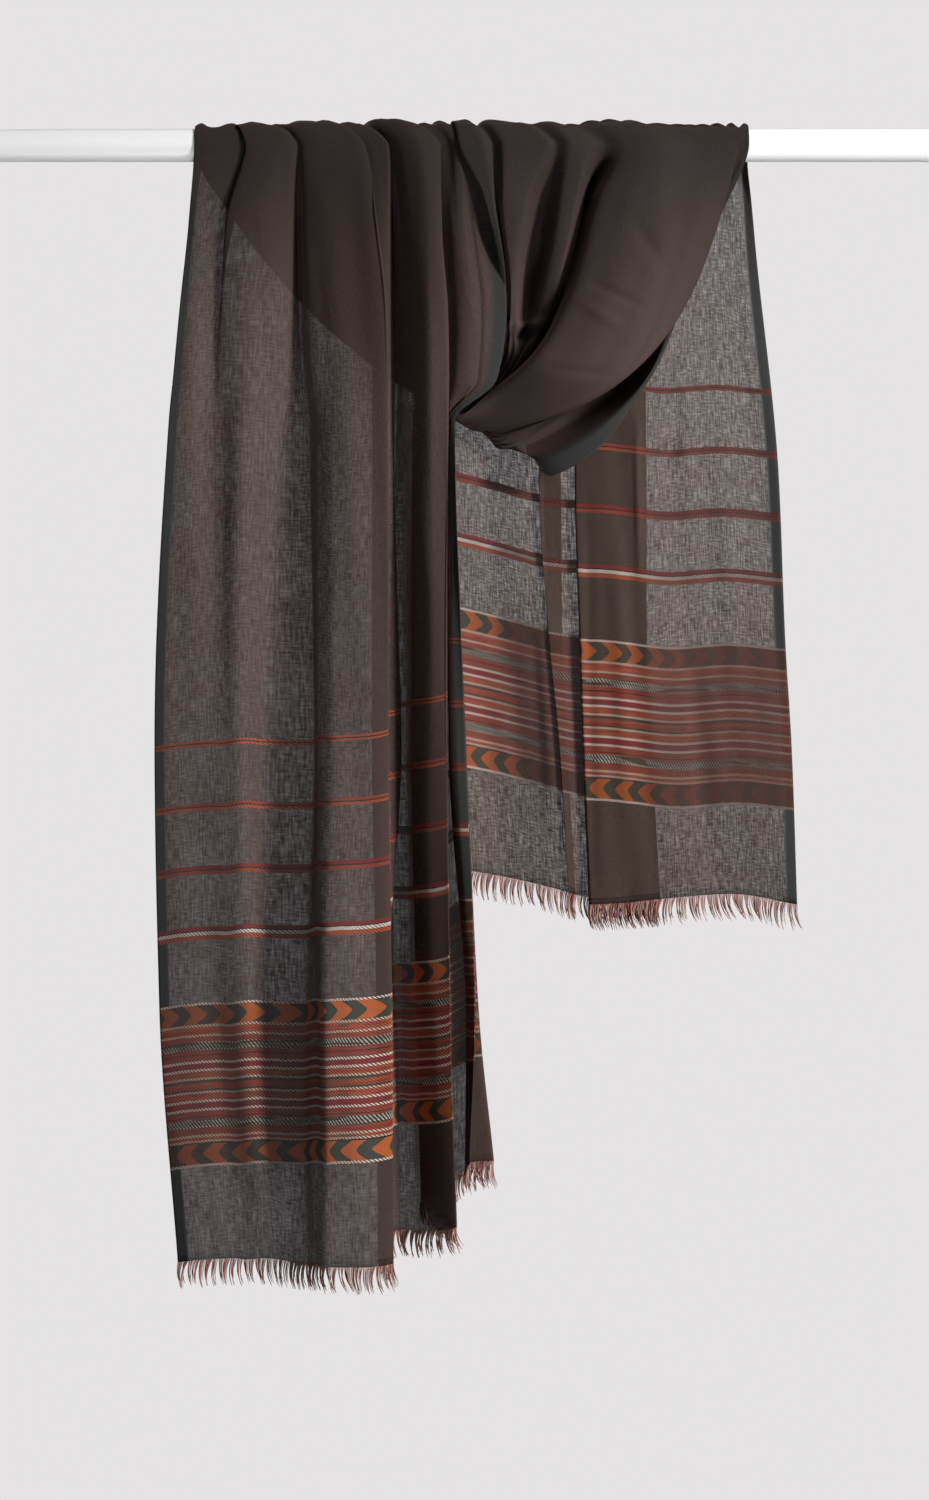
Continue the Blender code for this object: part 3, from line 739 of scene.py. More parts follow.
# %% [markdown]
# ## The fringe
#
# The fringe is what is left of the warp when the stole is cut from the loom: single soft yarns, which
# cling together in small tufts. Geometry Nodes grow it from the hem. The hem is resampled to a yarn's
# spacing, and each point gets one tapered yarn, with its own length and lean. Yarns of one tuft
# lean towards each other.

# %% Fringe tree
FRINGE_REACH = 0.0205
YARN_SPACING = 0.00095
YARN_RADIUS = 0.00045
# A yarn's middle and tip, for a yarn that starts at the origin and reaches 1 down.
YARN_BOW = (-0.12, 0.03, -0.55)
YARN_TIP = (0.10, 0.02, -1)
YARN_STEPS = 5
YARN_SIDES = 4
TAPER_FROM = 0.55
TIP_THICKNESS = 0.35
YARNS_IN_A_TUFT = 5
# Angles in radians: how a tuft draws its yarns together, and how tufts and single yarns lean.
TUFT_DRAW = 0.040
TUFT_LEAN = 0.15
YARN_LEAN = 0.05
YARN_PITCH = 0.16
YARN_TURN = 0.5
SHORTEST, LONGEST = 0.72, 1.04
DRIFT = 0.9
DRIFTS_IN_A_METRE = 16.0


def fringe_tree():
    """Yarns along a hem, which is a line of edges that runs from the left selvedge to the right."""
    tree, source, result = new_group(
        "fringe_yarns", "GeometryNodeTree",
        (("Hem", "Geometry"), ("Reach", "Float", FRINGE_REACH), ("Spacing", "Float", YARN_SPACING),
         ("Yarn Radius", "Float", YARN_RADIUS), ("Yarn Material", "Material")),
        (("Yarns", "Geometry"),))
    reach = wire(source, "Reach")
    hem = added(tree, "GeometryNodeMeshToCurve", {"Mesh": wire(source, "Hem")})
    evenly = added(tree, "GeometryNodeResampleCurve", {
        "Curve": wire(hem, "Curve"), "Length": wire(source, "Spacing")}, mode="LENGTH")

    # One yarn: a short curve that hangs down, a little bowed, and tapers to its tip.
    line = added(tree, "GeometryNodeCurveQuadraticBezier", {
        "Resolution": YARN_STEPS, "Start": (0, 0, 0), "Middle": YARN_BOW, "End": YARN_TIP})
    share = wire(added(tree, "GeometryNodeSplineParameter"), "Factor")
    taper = added(tree, "GeometryNodeSetCurveRadius", {
        "Curve": wire(line, "Curve"), "Radius": mapped(share, TAPER_FROM, 1.0, 1.0, TIP_THICKNESS)})
    profile = added(tree, "GeometryNodeCurvePrimitiveCircle", {
        "Resolution": YARN_SIDES, "Radius": wire(source, "Yarn Radius") / reach})
    tube = added(tree, "GeometryNodeCurveToMesh", {
        "Curve": wire(taper, "Curve"), "Profile Curve": wire(profile, "Curve"), "Fill Caps": True,
        "Scale": wire(added(tree, "GeometryNodeInputRadius"), "Radius")})

    # Each tuft draws its yarns together and leans its own way, and all of them drift to one side.
    index = wire(added(tree, "GeometryNodeInputIndex"))
    tuft = maths("FLOOR", index / YARNS_IN_A_TUFT)
    place = maths("MODULO", index, YARNS_IN_A_TUFT) - (YARNS_IN_A_TUFT - 1) / 2
    sway = random_value(tree, -TUFT_LEAN, TUFT_LEAN, seed=5, shared_by=tuft)
    lean = place * TUFT_DRAW + sway + random_value(tree, -YARN_LEAN, YARN_LEAN, seed=7)
    lean = lean + (noise(index * (YARN_SPACING * DRIFTS_IN_A_METRE)) - 0.5) * DRIFT
    turn = added(tree, "ShaderNodeCombineXYZ", {
        "X": random_value(tree, -YARN_PITCH, YARN_PITCH, seed=8), "Y": lean,
        "Z": random_value(tree, -YARN_TURN, YARN_TURN, seed=9)})
    size = reach * random_value(tree, SHORTEST, LONGEST, seed=10)
    shade = added(tree, "GeometryNodeStoreNamedAttribute", data_type="FLOAT", domain="POINT")
    joined("yarn_shade", shade.inputs["Name"])
    joined(wire(evenly, "Curve"), shade.inputs["Geometry"])
    joined(random_value(tree, 0, 1, seed=11), next(s for s in shade.inputs if s.name == "Value"))

    planted = added(tree, "GeometryNodeInstanceOnPoints", {
        "Points": wire(shade, "Geometry"), "Instance": wire(tube, "Mesh"),
        "Rotation": wire(turn, "Vector"), "Scale": size})
    real = added(tree, "GeometryNodeRealizeInstances", {"Geometry": wire(planted, "Instances")})
    finish = added(tree, "GeometryNodeSetMaterial", {
        "Geometry": wire(real, "Geometry"), "Material": wire(source, "Yarn Material")})
    joined(wire(finish, "Geometry"), result.inputs["Yarns"])
    return tree


yarn_tree = fringe_tree()
print("fringe tree:", len(yarn_tree.nodes), "nodes")

# %% [markdown]
# The tree runs on the hem's own line, and its result is made a plain mesh, because what is exported
# must hold no live node tree.

# %% Grow the two fringes
def new_material(name):
    """A material with nodes."""
    made = bpy.data.materials.new(name)
    made.use_nodes = True
    return made


def plain_mesh(thing):
    """The mesh of an object with its modifiers applied."""
    return bpy.data.meshes.new_from_object(thing.evaluated_get(bpy.context.evaluated_depsgraph_get()))


yarn_wool = new_material("fringe_yarn")


def fringe(name, hem_points):
    """The fringe under a hem, as a plain mesh."""
    line = bpy.data.meshes.new(name + "_hem")
    line.from_pydata(hem_points.tolist(), [(i, i + 1) for i in range(len(hem_points) - 1)], [])
    grower = placed(name + "_grower", line)
    nodes = grower.modifiers.new("yarns", "NODES")
    nodes.node_group = yarn_tree
    values = {"Reach": FRINGE_REACH, "Spacing": YARN_SPACING, "Yarn Radius": YARN_RADIUS,
              "Yarn Material": yarn_wool}
    for item in yarn_tree.interface.items_tree:
        if item.in_out == "INPUT" and item.name in values:
            nodes[item.identifier] = values[item.name]
    mesh = plain_mesh(grower)
    mesh.name = name
    bpy.data.objects.remove(grower)
    mesh.shade_smooth()
    print(name, len(mesh.polygons), "faces")
    return placed(name, mesh)


front_fringe = fringe("front_fringe_yarns", grids["front"][0])
back_fringe = fringe("back_fringe_yarns", grids["back"][-1])

# %% [markdown]
# ## The rod
#
# The rod is a plain dowel under white paint. It is turned from a short profile with a Screw modifier,
# which gives it softly rounded ends.

# %% Rod
ROD_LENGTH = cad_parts["rod"].dimensions.x
ROD_END_ROUND = 0.0012
ROUNDING_ANGLES = (0, 22.5, 45, 67.5, 90)
ROD_SIDES = 96
WELD_WITHIN = 0.00001
SHARP_OVER_DEGREES = 50
right_end = []
for degrees in ROUNDING_ANGLES:
    angle = math.radians(degrees)
    right_end.append((ROD_LENGTH / 2 - ROD_END_ROUND * (1 - math.cos(angle)),
                      ROD_DIAMETER / 2 - ROD_END_ROUND * (1 - math.sin(angle))))
profile = [(-ROD_LENGTH / 2, 0.0)] + [(-x, r) for x, r in right_end]
profile += right_end[::-1] + [(ROD_LENGTH / 2, 0.0)]
outline = bpy.data.meshes.new("rod_bar")
outline.from_pydata([(x, 0, r) for x, r in profile], [(i, i + 1) for i in range(len(profile) - 1)], [])
rod_bar = placed("rod_bar", outline)
turning = rod_bar.modifiers.new("turning", "SCREW")
turning.axis = "X"
turning.steps = turning.render_steps = ROD_SIDES
turning.use_merge_vertices = True
turning.merge_threshold = WELD_WITHIN
turning.use_normal_calculate = True
rod_mesh = plain_mesh(rod_bar)
rod_bar.modifiers.clear()
rod_bar.data = rod_mesh
rod_mesh.shade_smooth()
rod_mesh.set_sharp_from_angle(angle=math.radians(SHARP_OVER_DEGREES))
print("rod:", len(rod_mesh.polygons), "faces")

# %% [markdown]
# ## The woven ground
#
# The cloth is an open twill of fine wool, with a dark warp and a redder weft. Up close, single threads
# wander and thicken, so that the cloth is a mottle of denser and thinner places. One shader group
# makes that mottle from two long noises, one along each set of threads, and all the cloth uses it.

# %% Weave group
THREAD_STREAKS = (
    # share of the mottle, streaks in a metre across, and along
    ("warp", 0.55, 820.0, 80.0),
    ("weft", 0.45, 140.0, 760.0),
)
STREAK_DETAIL, STREAK_ROUGHNESS = 1.0, 0.6
MOTTLE_LOW, MOTTLE_HIGH = 0.30, 0.70
PATCHES_ACROSS, PATCHES_ALONG = 38.0, 22.0
SELVEDGE_WIDTH = 0.012
SELVEDGE_FULL, SELVEDGE_GONE = 0.60, 1.30
TWILL_RADIANS_IN_A_METRE = 2600.0
TWILL_RELIEF = 0.25


def weave_group():
    """Puts out a mottle from 0 to 1, a selvedge mask and a thread height."""
    group, source, result = new_group(
        "wool_weave", "ShaderNodeTree",
        (("Across", "Float"), ("Along", "Float"), ("Selvedge Width", "Float", SELVEDGE_WIDTH)),
        (("Mottle", "Float"), ("Slow Mottle", "Float"), ("Selvedge", "Float"), ("Height", "Float")))
    across, along = wire(source, "Across"), wire(source, "Along")
    warp, weft = [noise(across * wide, along * long, STREAK_DETAIL, STREAK_ROUGHNESS) * share
                  for name, share, wide, long in THREAD_STREAKS]
    mottle = mapped(warp + weft, MOTTLE_LOW, MOTTLE_HIGH)
    patches = noise(across * PATCHES_ACROSS, along * PATCHES_ALONG)
    from_edge = maths("MINIMUM", across, CLOTH_WIDTH - across) / wire(source, "Selvedge Width")
    selvedge = mapped(from_edge, SELVEDGE_FULL, SELVEDGE_GONE, 1.0, 0.0, "SMOOTHSTEP")
    twill = maths("SINE", across * TWILL_RADIANS_IN_A_METRE + along * TWILL_RADIANS_IN_A_METRE)
    for name, value in (("Mottle", mottle), ("Slow Mottle", patches), ("Selvedge", selvedge),
                        ("Height", twill * TWILL_RELIEF + mottle)):
        joined(value, result.inputs[name])
    return group


weave = weave_group()
print("weave group:", len(weave.nodes), "nodes")

# %% [markdown]
# ## The woven border
#
# A border of bright wool is woven across each end: a band of chevrons, many rows of slanted stitches
# between dotted rows, and a second band of chevrons that points the other way. Four thin lines run
# above it. It is a common, traditional layout. Each row is one line of a table, from the border's top
# edge down, with its width and its yarn. A Color Ramp with hard steps reads the table.

# %% Border tables
YARNS = {
    # yarn: linear red, green and blue
    "cream": (0.60, 0.47, 0.36),
    "white": (0.72, 0.62, 0.55),
    "bright": (0.44, 0.105, 0.028),
    "orange": (0.40, 0.085, 0.038),
    "rust": (0.31, 0.058, 0.032),
    "crimson": (0.25, 0.024, 0.024),
    "grey": (0.40, 0.40, 0.34),
    "dark": (0.030, 0.020, 0.016),
    "brown": (0.12, 0.070, 0.042),
    "ember": (0.110, 0.026, 0.012),
    "green": (0.045, 0.050, 0.040),
    "olive": (0.042, 0.024, 0.011),
}
UPPER_HALF = (
    # row             width yarn       how it is woven, in millimetres from the top edge to the middle
    ("edge dots",       1.7, "white", "dotted"),
    ("upper chevrons", 14.3, "bright", "chevrons"),
    ("dots",            2.0, "cream", "dotted"),
    ("stitches",        5.5, "orange", "stitched"),
    ("dots",            1.8, "cream", "dotted"),
    ("stitches",        4.0, "rust", "stitched"),
    ("twill",           6.0, "grey", "twilled"),
    ("stitches",        3.1, "rust", "stitched"),
    ("ground",          1.2, "dark", "stitched"),
    ("stitches",        3.9, "rust", "stitched"),
    ("dots",            1.9, "white", "dotted"),
    ("stitches",        4.2, "crimson", "stitched"),
    ("dots",            1.9, "white", "dotted"),
    ("stitches",        4.7, "orange", "stitched"),
    ("cord",            1.7, "cream", "dotted"),
    ("ground",          2.1, "green", "stitched"),
    ("middle",          2.6, "orange", "stitched"),
)
LOWER_HALF = (
    ("middle",          2.3, "rust", "stitched"),
    ("ground",          1.4, "green", "stitched"),
    ("cord",            1.7, "cream", "dotted"),
    ("stitches",        4.8, "orange", "stitched"),
    ("dots",            1.9, "white", "dotted"),
    ("stitches",        4.6, "crimson", "stitched"),
    ("dots",            1.9, "white", "dotted"),
    ("stitches",        4.1, "rust", "stitched"),
    ("ground",          0.8, "dark", "stitched"),
    ("stitches",        1.5, "rust", "stitched"),
    ("twill",           6.0, "grey", "twilled"),
    ("stitches",        5.4, "rust", "stitched"),
    ("dots",            1.9, "cream", "dotted"),
    ("stitches",        2.1, "orange", "stitched"),
    ("dots",            1.8, "cream", "dotted"),
    ("ground",          1.2, "dark", "stitched"),
    ("lower chevrons", 15.0, "bright", "chevrons"),
    ("edge dots",       2.0, "white", "dotted"),
)
THIN_LINES = (
    # line: its rows from its lower edge up, in millimetres
    ("fourth", (("orange", 3.6), ("white", 2.6), ("dark", 1.0), ("crimson", 2.8))),
    ("third", (("rust", 2.8), ("dark", 0.8), ("crimson", 2.8))),
    ("second", (("orange", 2.4), ("dark", 0.8), ("rust", 2.4))),
    ("first", (("orange", 1.8), ("dark", 0.8), ("orange", 1.8))),
)
PLAIN_END = 0.0697
UPPER_WIDTH = sum(row[1] for row in UPPER_HALF) * MM
LOWER_WIDTH = sum(row[1] for row in LOWER_HALF) * MM
BORDER_TOP = PLAIN_END + UPPER_WIDTH + LOWER_WIDTH
FIRST_LINE_RISE = 0.0523
LINE_PITCH = 0.0477
LINE_ROOM = 0.012
STITCH_PITCH = 0.0027
CHEVRON_PITCH = 0.0227
FIRST_TIP = 0.0175
FIRST_LOWER_TIP = 0.0290
KINDS = {"stitched": (0, 0, 0), "dotted": (1, 0, 0), "twilled": (0, 1, 0), "chevrons": (0, 0, 1)}
print("border:", round((UPPER_WIDTH + LOWER_WIDTH) / MM, 1), "mm wide,", round(BORDER_TOP, 3), "m up")

# %% [markdown]
# The ramps give the yarn and the way that each row is woven. Small patterns then fill the rows:
# dots are a square wave along the row, stitches slant one way and back, twill is a diagonal, and a
# chevron is a wave that is held back towards both edges of its band.

# %% Border group
WOBBLES_IN_A_METRE = 160.0
WOBBLE = 0.0007
RUNS_ACROSS, RUNS_ALONG = 22.0, 330.0
REDDER_ABOVE, REDDER_BY = 0.56, 0.60
BROWNER_BELOW, BROWNER_BY = 0.40, 0.65
STITCH_SLANT = 420.0
DOT_FROM = -0.10
GAP_BELOW, GAP_SHADE = -0.25, 0.62
LINE_GAP_SHADE = 0.75
TWILL_ACROSS, TWILL_DOWN = 0.0027, 0.0036
ARM_CURVE, ARM_HOLD = 1.3, 0.42
ARM_AT_TIP, ARM_THINS = 0.56, 0.22
DOTTED_GROUND = tuple(0.65 * d + 0.35 * r for d, r in zip(YARNS["dark"], YARNS["rust"]))
TWILL_DARK_BELOW, TWILL_REDDER = 0.1, 0.5
STITCH_RELIEF = 0.5
# The colour the border darkens to, and by how much: partly duller yarn and partly painted shade.
DULL_AND_SHADED_COLOUR = (0.040, 0.015, 0.011)
DULL_AND_SHADED_BY = 0.78


def ramp(factor, stops, kind="CONSTANT"):
    """A Color Ramp. stops are (start from 0 to 1, colour), and CONSTANT gives hard steps."""
    made = added(tree_of(factor), "ShaderNodeValToRGB", {"Fac": factor})
    elements = made.color_ramp.elements
    made.color_ramp.interpolation = kind
    while len(elements) < len(stops):
        elements.new(1.0)
    for element, (start, colour) in zip(elements, stops):
        element.position = start
        element.color = colour if len(colour) == 4 else (*colour, 1.0)
    return made


def mixed(factor, first, second):
    """One colour over another."""
    made = added(tree_of(factor, first, second), "ShaderNodeMix", {"Factor": factor}, data_type="RGBA")
    ends = [s for s in made.inputs if s.type == "RGBA"]
    for start, end in zip((first, second), ends):
        joined(start if isinstance(start, Wire) else (*start, 1.0), end)
    return Wire(next(s for s in made.outputs if s.type == "RGBA"))


def row_stops(rows, read):
    """The stops of a ramp over a table of rows. read turns a row into its colour."""
    total = sum(row[1] for row in rows)
    start, stops = 0.0, []
    for row in rows:
        stops.append((start / total, read(row)))
        start += row[1]
    return stops


def line_stops():
    """The stops of the ramp that the four thin lines share, clear between the lines."""
    stops = []
    room, count = LINE_ROOM / MM, len(THIN_LINES)
    for number, (name, rows) in enumerate(THIN_LINES):
        start = (room - sum(row[1] for row in rows)) / 2
        stops.append((number / count, (0, 0, 0, 0)))
        for yarn_name, wide in rows:
            stops.append(((number + start / room) / count, YARNS[yarn_name]))
            start += wide
        stops.append(((number + start / room) / count, (0, 0, 0, 0)))
    return stops


def band_place(rows, name):
    """Where a named row starts below the top of its half, and its width, in metres."""
    before = 0.0
    for row in rows:
        if row[0] == name:
            return before * MM, row[1] * MM
        before += row[1]


def chevrons(across, down, place, tip, direction):
    """The mask of a band of chevrons with one tip there. direction is 1 where they point right."""
    start, width = place
    arm = maths("ABSOLUTE", (down - start) / width - 0.5)
    held_back = maths("POWER", arm * 2.0, ARM_CURVE) * ARM_HOLD
    before_tip = (tip - across) / (direction * CHEVRON_PITCH)
    phase = maths("FRACT", before_tip - held_back)
    return phase < ARM_AT_TIP - arm * ARM_THINS


def border_group():
    """Puts out the border's colour, where it covers the ground, and its height."""
    group, source, result = new_group(
        "woven_border", "ShaderNodeTree",
        (("Across", "Float"), ("From Hem", "Float"), ("Freshness", "Float", 1.0)),
        (("Colour", "Color"), ("Cover", "Float"), ("Height", "Float")))
    across, fresh_and_lit = wire(source, "Across"), wire(source, "Freshness")
    rise = wire(source, "From Hem") + (noise(across * WOBBLES_IN_A_METRE) - 0.5) * WOBBLE

    # Which row, and how it is woven.
    down = BORDER_TOP - rise
    lower_down = down - UPPER_WIDTH
    in_lower = lower_down > 0.0
    inside = (down > 0.0) * (rise > PLAIN_END)
    upper_share, lower_share = down / UPPER_WIDTH, lower_down / LOWER_WIDTH
    yarn, kind = [
        mixed(in_lower, wire(ramp(upper_share, row_stops(UPPER_HALF, read)), "Color"),
              wire(ramp(lower_share, row_stops(LOWER_HALF, read)), "Color"))
        for read in (lambda row: YARNS[row[2]], lambda row: KINDS[row[3]])]
    masks = added(group, "ShaderNodeSeparateColor", {"Color": kind})
    is_dotted, is_twilled, is_chevron = [wire(masks, name) for name in ("Red", "Green", "Blue")]

    # The yarns change along a row, in long uneven runs.
    runs = noise(across * RUNS_ACROSS, rise * RUNS_ALONG)
    redder, browner = runs > REDDER_ABOVE, runs < BROWNER_BELOW
    changed = mixed(redder * REDDER_BY, yarn, YARNS["crimson"])
    changed = mixed(browner * BROWNER_BY, changed, YARNS["brown"])
    yarn = mixed(1.0 - maths("MAXIMUM", is_dotted, is_twilled), yarn, changed)

    # Dots, slanted stitches and twill.
    stitch = maths("SINE", (across / STITCH_PITCH + rise * STITCH_SLANT) * (2 * math.pi))
    stitched = mixed((stitch < GAP_BELOW) * GAP_SHADE, yarn, YARNS["dark"])
    colour = mixed(is_dotted, stitched, mixed(stitch > DOT_FROM, DOTTED_GROUND, yarn))
    diagonal = maths("SINE", (across / TWILL_ACROSS + rise / TWILL_DOWN) * (2 * math.pi))
    pale = mixed(maths("MAXIMUM", redder * TWILL_REDDER, browner), YARNS["grey"], YARNS["brown"])
    colour = mixed(is_twilled, colour, mixed(diagonal > TWILL_DARK_BELOW, YARNS["dark"], pale))

    # Chevrons, which point right in the upper band and left in the lower one.
    right = chevrons(across, down, band_place(UPPER_HALF, "upper chevrons"), FIRST_TIP, direction=1)
    left = chevrons(across, lower_down, band_place(LOWER_HALF, "lower chevrons"), FIRST_LOWER_TIP,
                    direction=-1)
    # Where the border is duller, the chevrons darken too: partly duller yarn, partly painted shade.
    flame = mixed(fresh_and_lit, YARNS["ember"], YARNS["bright"])
    chevron = mixed(left * in_lower + right * (1.0 - in_lower),
                    mixed(fresh_and_lit, YARNS["olive"], YARNS["green"]), flame)
    colour = mixed(is_chevron, colour, chevron)

    # The four thin lines above the border share one ramp, a quarter of it each.
    above = rise - BORDER_TOP - FIRST_LINE_RISE
    which = maths("FLOOR", (above + LINE_PITCH / 2) / LINE_PITCH)
    local = above - which * LINE_PITCH
    near = maths("ABSOLUTE", local) < LINE_ROOM / 2
    quarter = (which + (local + LINE_ROOM / 2) / LINE_ROOM) / len(THIN_LINES)
    lines = ramp(quarter, line_stops())
    in_lines = near * wire(lines, "Alpha") * ((which > -0.5) * (which < len(THIN_LINES) - 0.5))
    line_colour = mixed((stitch < DOT_FROM) * LINE_GAP_SHADE, wire(lines, "Color"), YARNS["dark"])
    colour = mixed(in_lines, colour, line_colour)
    # Painted shade together with duller yarn: the whole border darkens where it is less bright.
    colour = mixed(fresh_and_lit, mixed(DULL_AND_SHADED_BY, colour, DULL_AND_SHADED_COLOUR), colour)
    joined(colour, result.inputs["Colour"])
    joined(maths("MAXIMUM", inside, in_lines), result.inputs["Cover"])
    joined(stitch * STITCH_RELIEF, result.inputs["Height"])
    return group


border = border_group()
print("border group:", len(border.nodes), "nodes")

# %% [markdown]
# ## Sheer wool
#
# The cloth is see-through where its threads part, so its opacity follows the mottle: thick threads
# hide what is behind, and thin places let it show. Thin places are also lighter and warmer, partly
# the wool's colour and partly painted light shining through from behind. Seen edge-on, the same cloth
# looks closed, because the eye meets more thread, and Layer Weight gives that. A shot cloth also
# turns redder there. The selvedges are woven closely in dark wool.

# %% Cloth materials
SHOT_COLOUR = (0.052, 0.016, 0.014)
SHOT_BY = 0.70
SELVEDGE_COLOUR = (0.026, 0.028, 0.027)
SELVEDGE_COVER = 0.93
# Painted shade near the rod: the colour the cloth darkens to towards the top, where it starts and ends,
# and by how much.
TOP_SHADE_COLOUR = (0.012, 0.008, 0.007)
TOP_SHADE_FROM, TOP_SHADE_FULLY_AT = -0.190, 0.010
TOP_SHADE = 0.84
WOOLS = {
    # cloth: thick thread, thin thread, cover at the hem, cover at the rod, share of cover that varies;
    # the thin thread's colour is partly the wool's and partly painted light shining through from behind
    "front": ((0.046, 0.028, 0.025), (0.074, 0.048, 0.041), 0.745, 0.830, 0.19),
    "back": ((0.046, 0.028, 0.025), (0.094, 0.061, 0.045), 0.74, 0.57, 0.36),
    "swag": ((0.050, 0.034, 0.032), (0.066, 0.046, 0.043), 0.92, 0.92, 0.12),
}
FRESH_AND_LIT = {
    # cloth: how bright the border's yarns are at shares of the width, from 0 to 1; partly the yarns' own
    # duller colour and partly painted shade where folds and pleats shade the border
    "front": ((0.0, 0.45), (0.09, 0.50), (0.16, 0.85), (0.24, 1.0), (0.60, 1.0), (0.72, 0.6),
              (0.82, 0.4)),
    "back": ((0.0, 0.85), (0.10, 0.60), (0.16, 0.05), (0.52, 0.05), (0.59, 0.80), (0.68, 0.70),
             (0.76, 0.12), (1.0, 0.0)),
}
COVER_CHANGES_OVER = 0.62
PATCHES_COVER = 0.10
BORDER_COVER = 0.88
BORDER_WORN = 0.20
HEM_LINE = 0.0042
HEM_LINE_HALF = 0.0007
HEM_LINE_SHADE = 0.7
EDGE_ON_POWER, EDGE_ON_CLOSES = 1.6, 0.9
WOOL_FEEL = {
    "Roughness": 0.85, "Specular IOR Level": 0.20,
    "Sheen Weight": 0.04, "Sheen Roughness": 0.5, "Sheen Tint": (0.80, 0.55, 0.50, 1.0),
}
RELIEF = {"Strength": 0.35, "Distance": 0.0003}


def uv_axes(tree, name):
    """The two axes of a UV map, as wires."""
    places = wire(added(tree, "ShaderNodeUVMap", uv_map=name), "UV")
    axes = added(tree, "ShaderNodeSeparateXYZ", {"Vector": places})
    return wire(axes, "X"), wire(axes, "Y")


def finished(made, looks):
    """A material whose Principled shader has the given wires and values on its inputs."""
    shader = made.node_tree.nodes["Principled BSDF"]
    for name, value in looks.items():
        joined(value, shader.inputs[name])
    return made


def cloth_material(name, wool, bordered):
    """Sheer wool, with the woven border where it is wanted."""
    thick, thin_and_backlit, hem_cover, rod_cover, varies = WOOLS[wool]
    made = new_material(name)
    tree = made.node_tree
    across, along = uv_axes(tree, "weave")
    ground = added(tree, "ShaderNodeGroup", node_tree=weave)
    joined(across, ground.inputs["Across"])
    joined(along, ground.inputs["Along"])
    mottle, selvedge, relief = [wire(ground, output) for output in ("Mottle", "Selvedge", "Height")]
    facing = added(tree, "ShaderNodeLayerWeight", {"Blend": 0.5})
    edge_on = maths("POWER", wire(facing, "Facing"), EDGE_ON_POWER)

    # Painted shade: the cloth's colour darkens smoothly towards the top, from 190 mm below the rod's
    # axis to 10 mm above it.
    place = wire(added(tree, "ShaderNodeTexCoord"), "Object")
    height = wire(added(tree, "ShaderNodeSeparateXYZ", {"Vector": place}), "Z")
    top_shade = mapped(height, TOP_SHADE_FROM, TOP_SHADE_FULLY_AT, 0.0, TOP_SHADE, "SMOOTHSTEP")
    # Thin places are lighter and warmer: partly the wool's colour, partly painted light shining through
    # from behind.
    colour = mixed(mottle, thin_and_backlit, thick)
    colour = mixed(edge_on * SHOT_BY, colour, SHOT_COLOUR)
    colour = mixed(selvedge, colour, SELVEDGE_COLOUR)
    colour = mixed(top_shade, colour, TOP_SHADE_COLOUR)

    # How much the threads hide, from the hem up towards the rod.
    opacity = mapped(along, 0.0, COVER_CHANGES_OVER, hem_cover - varies / 2, rod_cover - varies / 2)
    opacity = opacity + mottle * varies + (wire(ground, "Slow Mottle") - 0.5) * PATCHES_COVER
    opacity = maths("MAXIMUM", opacity, selvedge * SELVEDGE_COVER)
    if bordered:
        row_across, from_hem = uv_axes(tree, "border")
        # The border's brightness across the width, partly duller yarn and partly painted shade.
        stops = [(share, (amount, amount, amount)) for share, amount in FRESH_AND_LIT[wool]]
        fresh_and_lit = ramp(row_across / CLOTH_WIDTH, stops, "LINEAR")
        pattern = added(tree, "ShaderNodeGroup", node_tree=border)
        joined(row_across, pattern.inputs["Across"])
        joined(from_hem, pattern.inputs["From Hem"])
        joined(wire(fresh_and_lit, "Color"), pattern.inputs["Freshness"])
        cover = wire(pattern, "Cover")
        worn = cover * (mottle * BORDER_WORN + (1 - BORDER_WORN))
        colour = mixed(worn, colour, wire(pattern, "Colour"))
        in_line = maths("ABSOLUTE", along - HEM_LINE) < HEM_LINE_HALF
        colour = mixed(in_line * HEM_LINE_SHADE, colour, YARNS["dark"])
        opacity = maths("MAXIMUM", opacity, cover * BORDER_COVER)
        relief = relief + wire(pattern, "Height") * cover
    closing = (1.0 - opacity) * (edge_on * EDGE_ON_CLOSES)
    bump = added(tree, "ShaderNodeBump", {"Height": relief, **RELIEF})
    return finished(made, {
        "Base Color": colour, "Alpha": opacity + closing, "Normal": wire(bump, "Normal"), **WOOL_FEEL})


front_wool = cloth_material("front_wool", "front", bordered=True)
back_wool = cloth_material("back_wool", "back", bordered=True)
swag_wool = cloth_material("swag_wool", "swag", bordered=False)
for piece, wool in ((front_fall, front_wool), (back_fall, back_wool), (swag, swag_wool),
                    (loop_back, swag_wool)):
    piece.data.materials.append(wool)
print("materials:", [m.name for m in (front_wool, back_wool, swag_wool)])

# %% [markdown]
# ## Fringe yarn and rod paint
#
# The fringe's yarns run from red-brown to a faded pink, a little different from one to the next.
# The rod's paint is satin, with a brush's faint unevenness.

# %% Yarn and paint
YARN_DARK, YARN_PALE = (0.20, 0.045, 0.038), (0.50, 0.29, 0.23)
PAINT_DARK, PAINT_PALE = (0.73, 0.73, 0.73), (0.79, 0.79, 0.79)
BRUSH_MARKS_IN_A_METRE = (8.0, 90.0, 90.0)
PAINT_ROUGHNESS, BRUSH_ROUGHNESS = 0.34, 0.12

shade = added(yarn_wool.node_tree, "ShaderNodeAttribute", attribute_name="yarn_shade")
finished(yarn_wool, {
    "Base Color": mixed(wire(shade, "Fac"), YARN_DARK, YARN_PALE),
    "Roughness": 0.9, "Specular IOR Level": 0.2, "Sheen Weight": 0.15, "Alpha": 0.9})

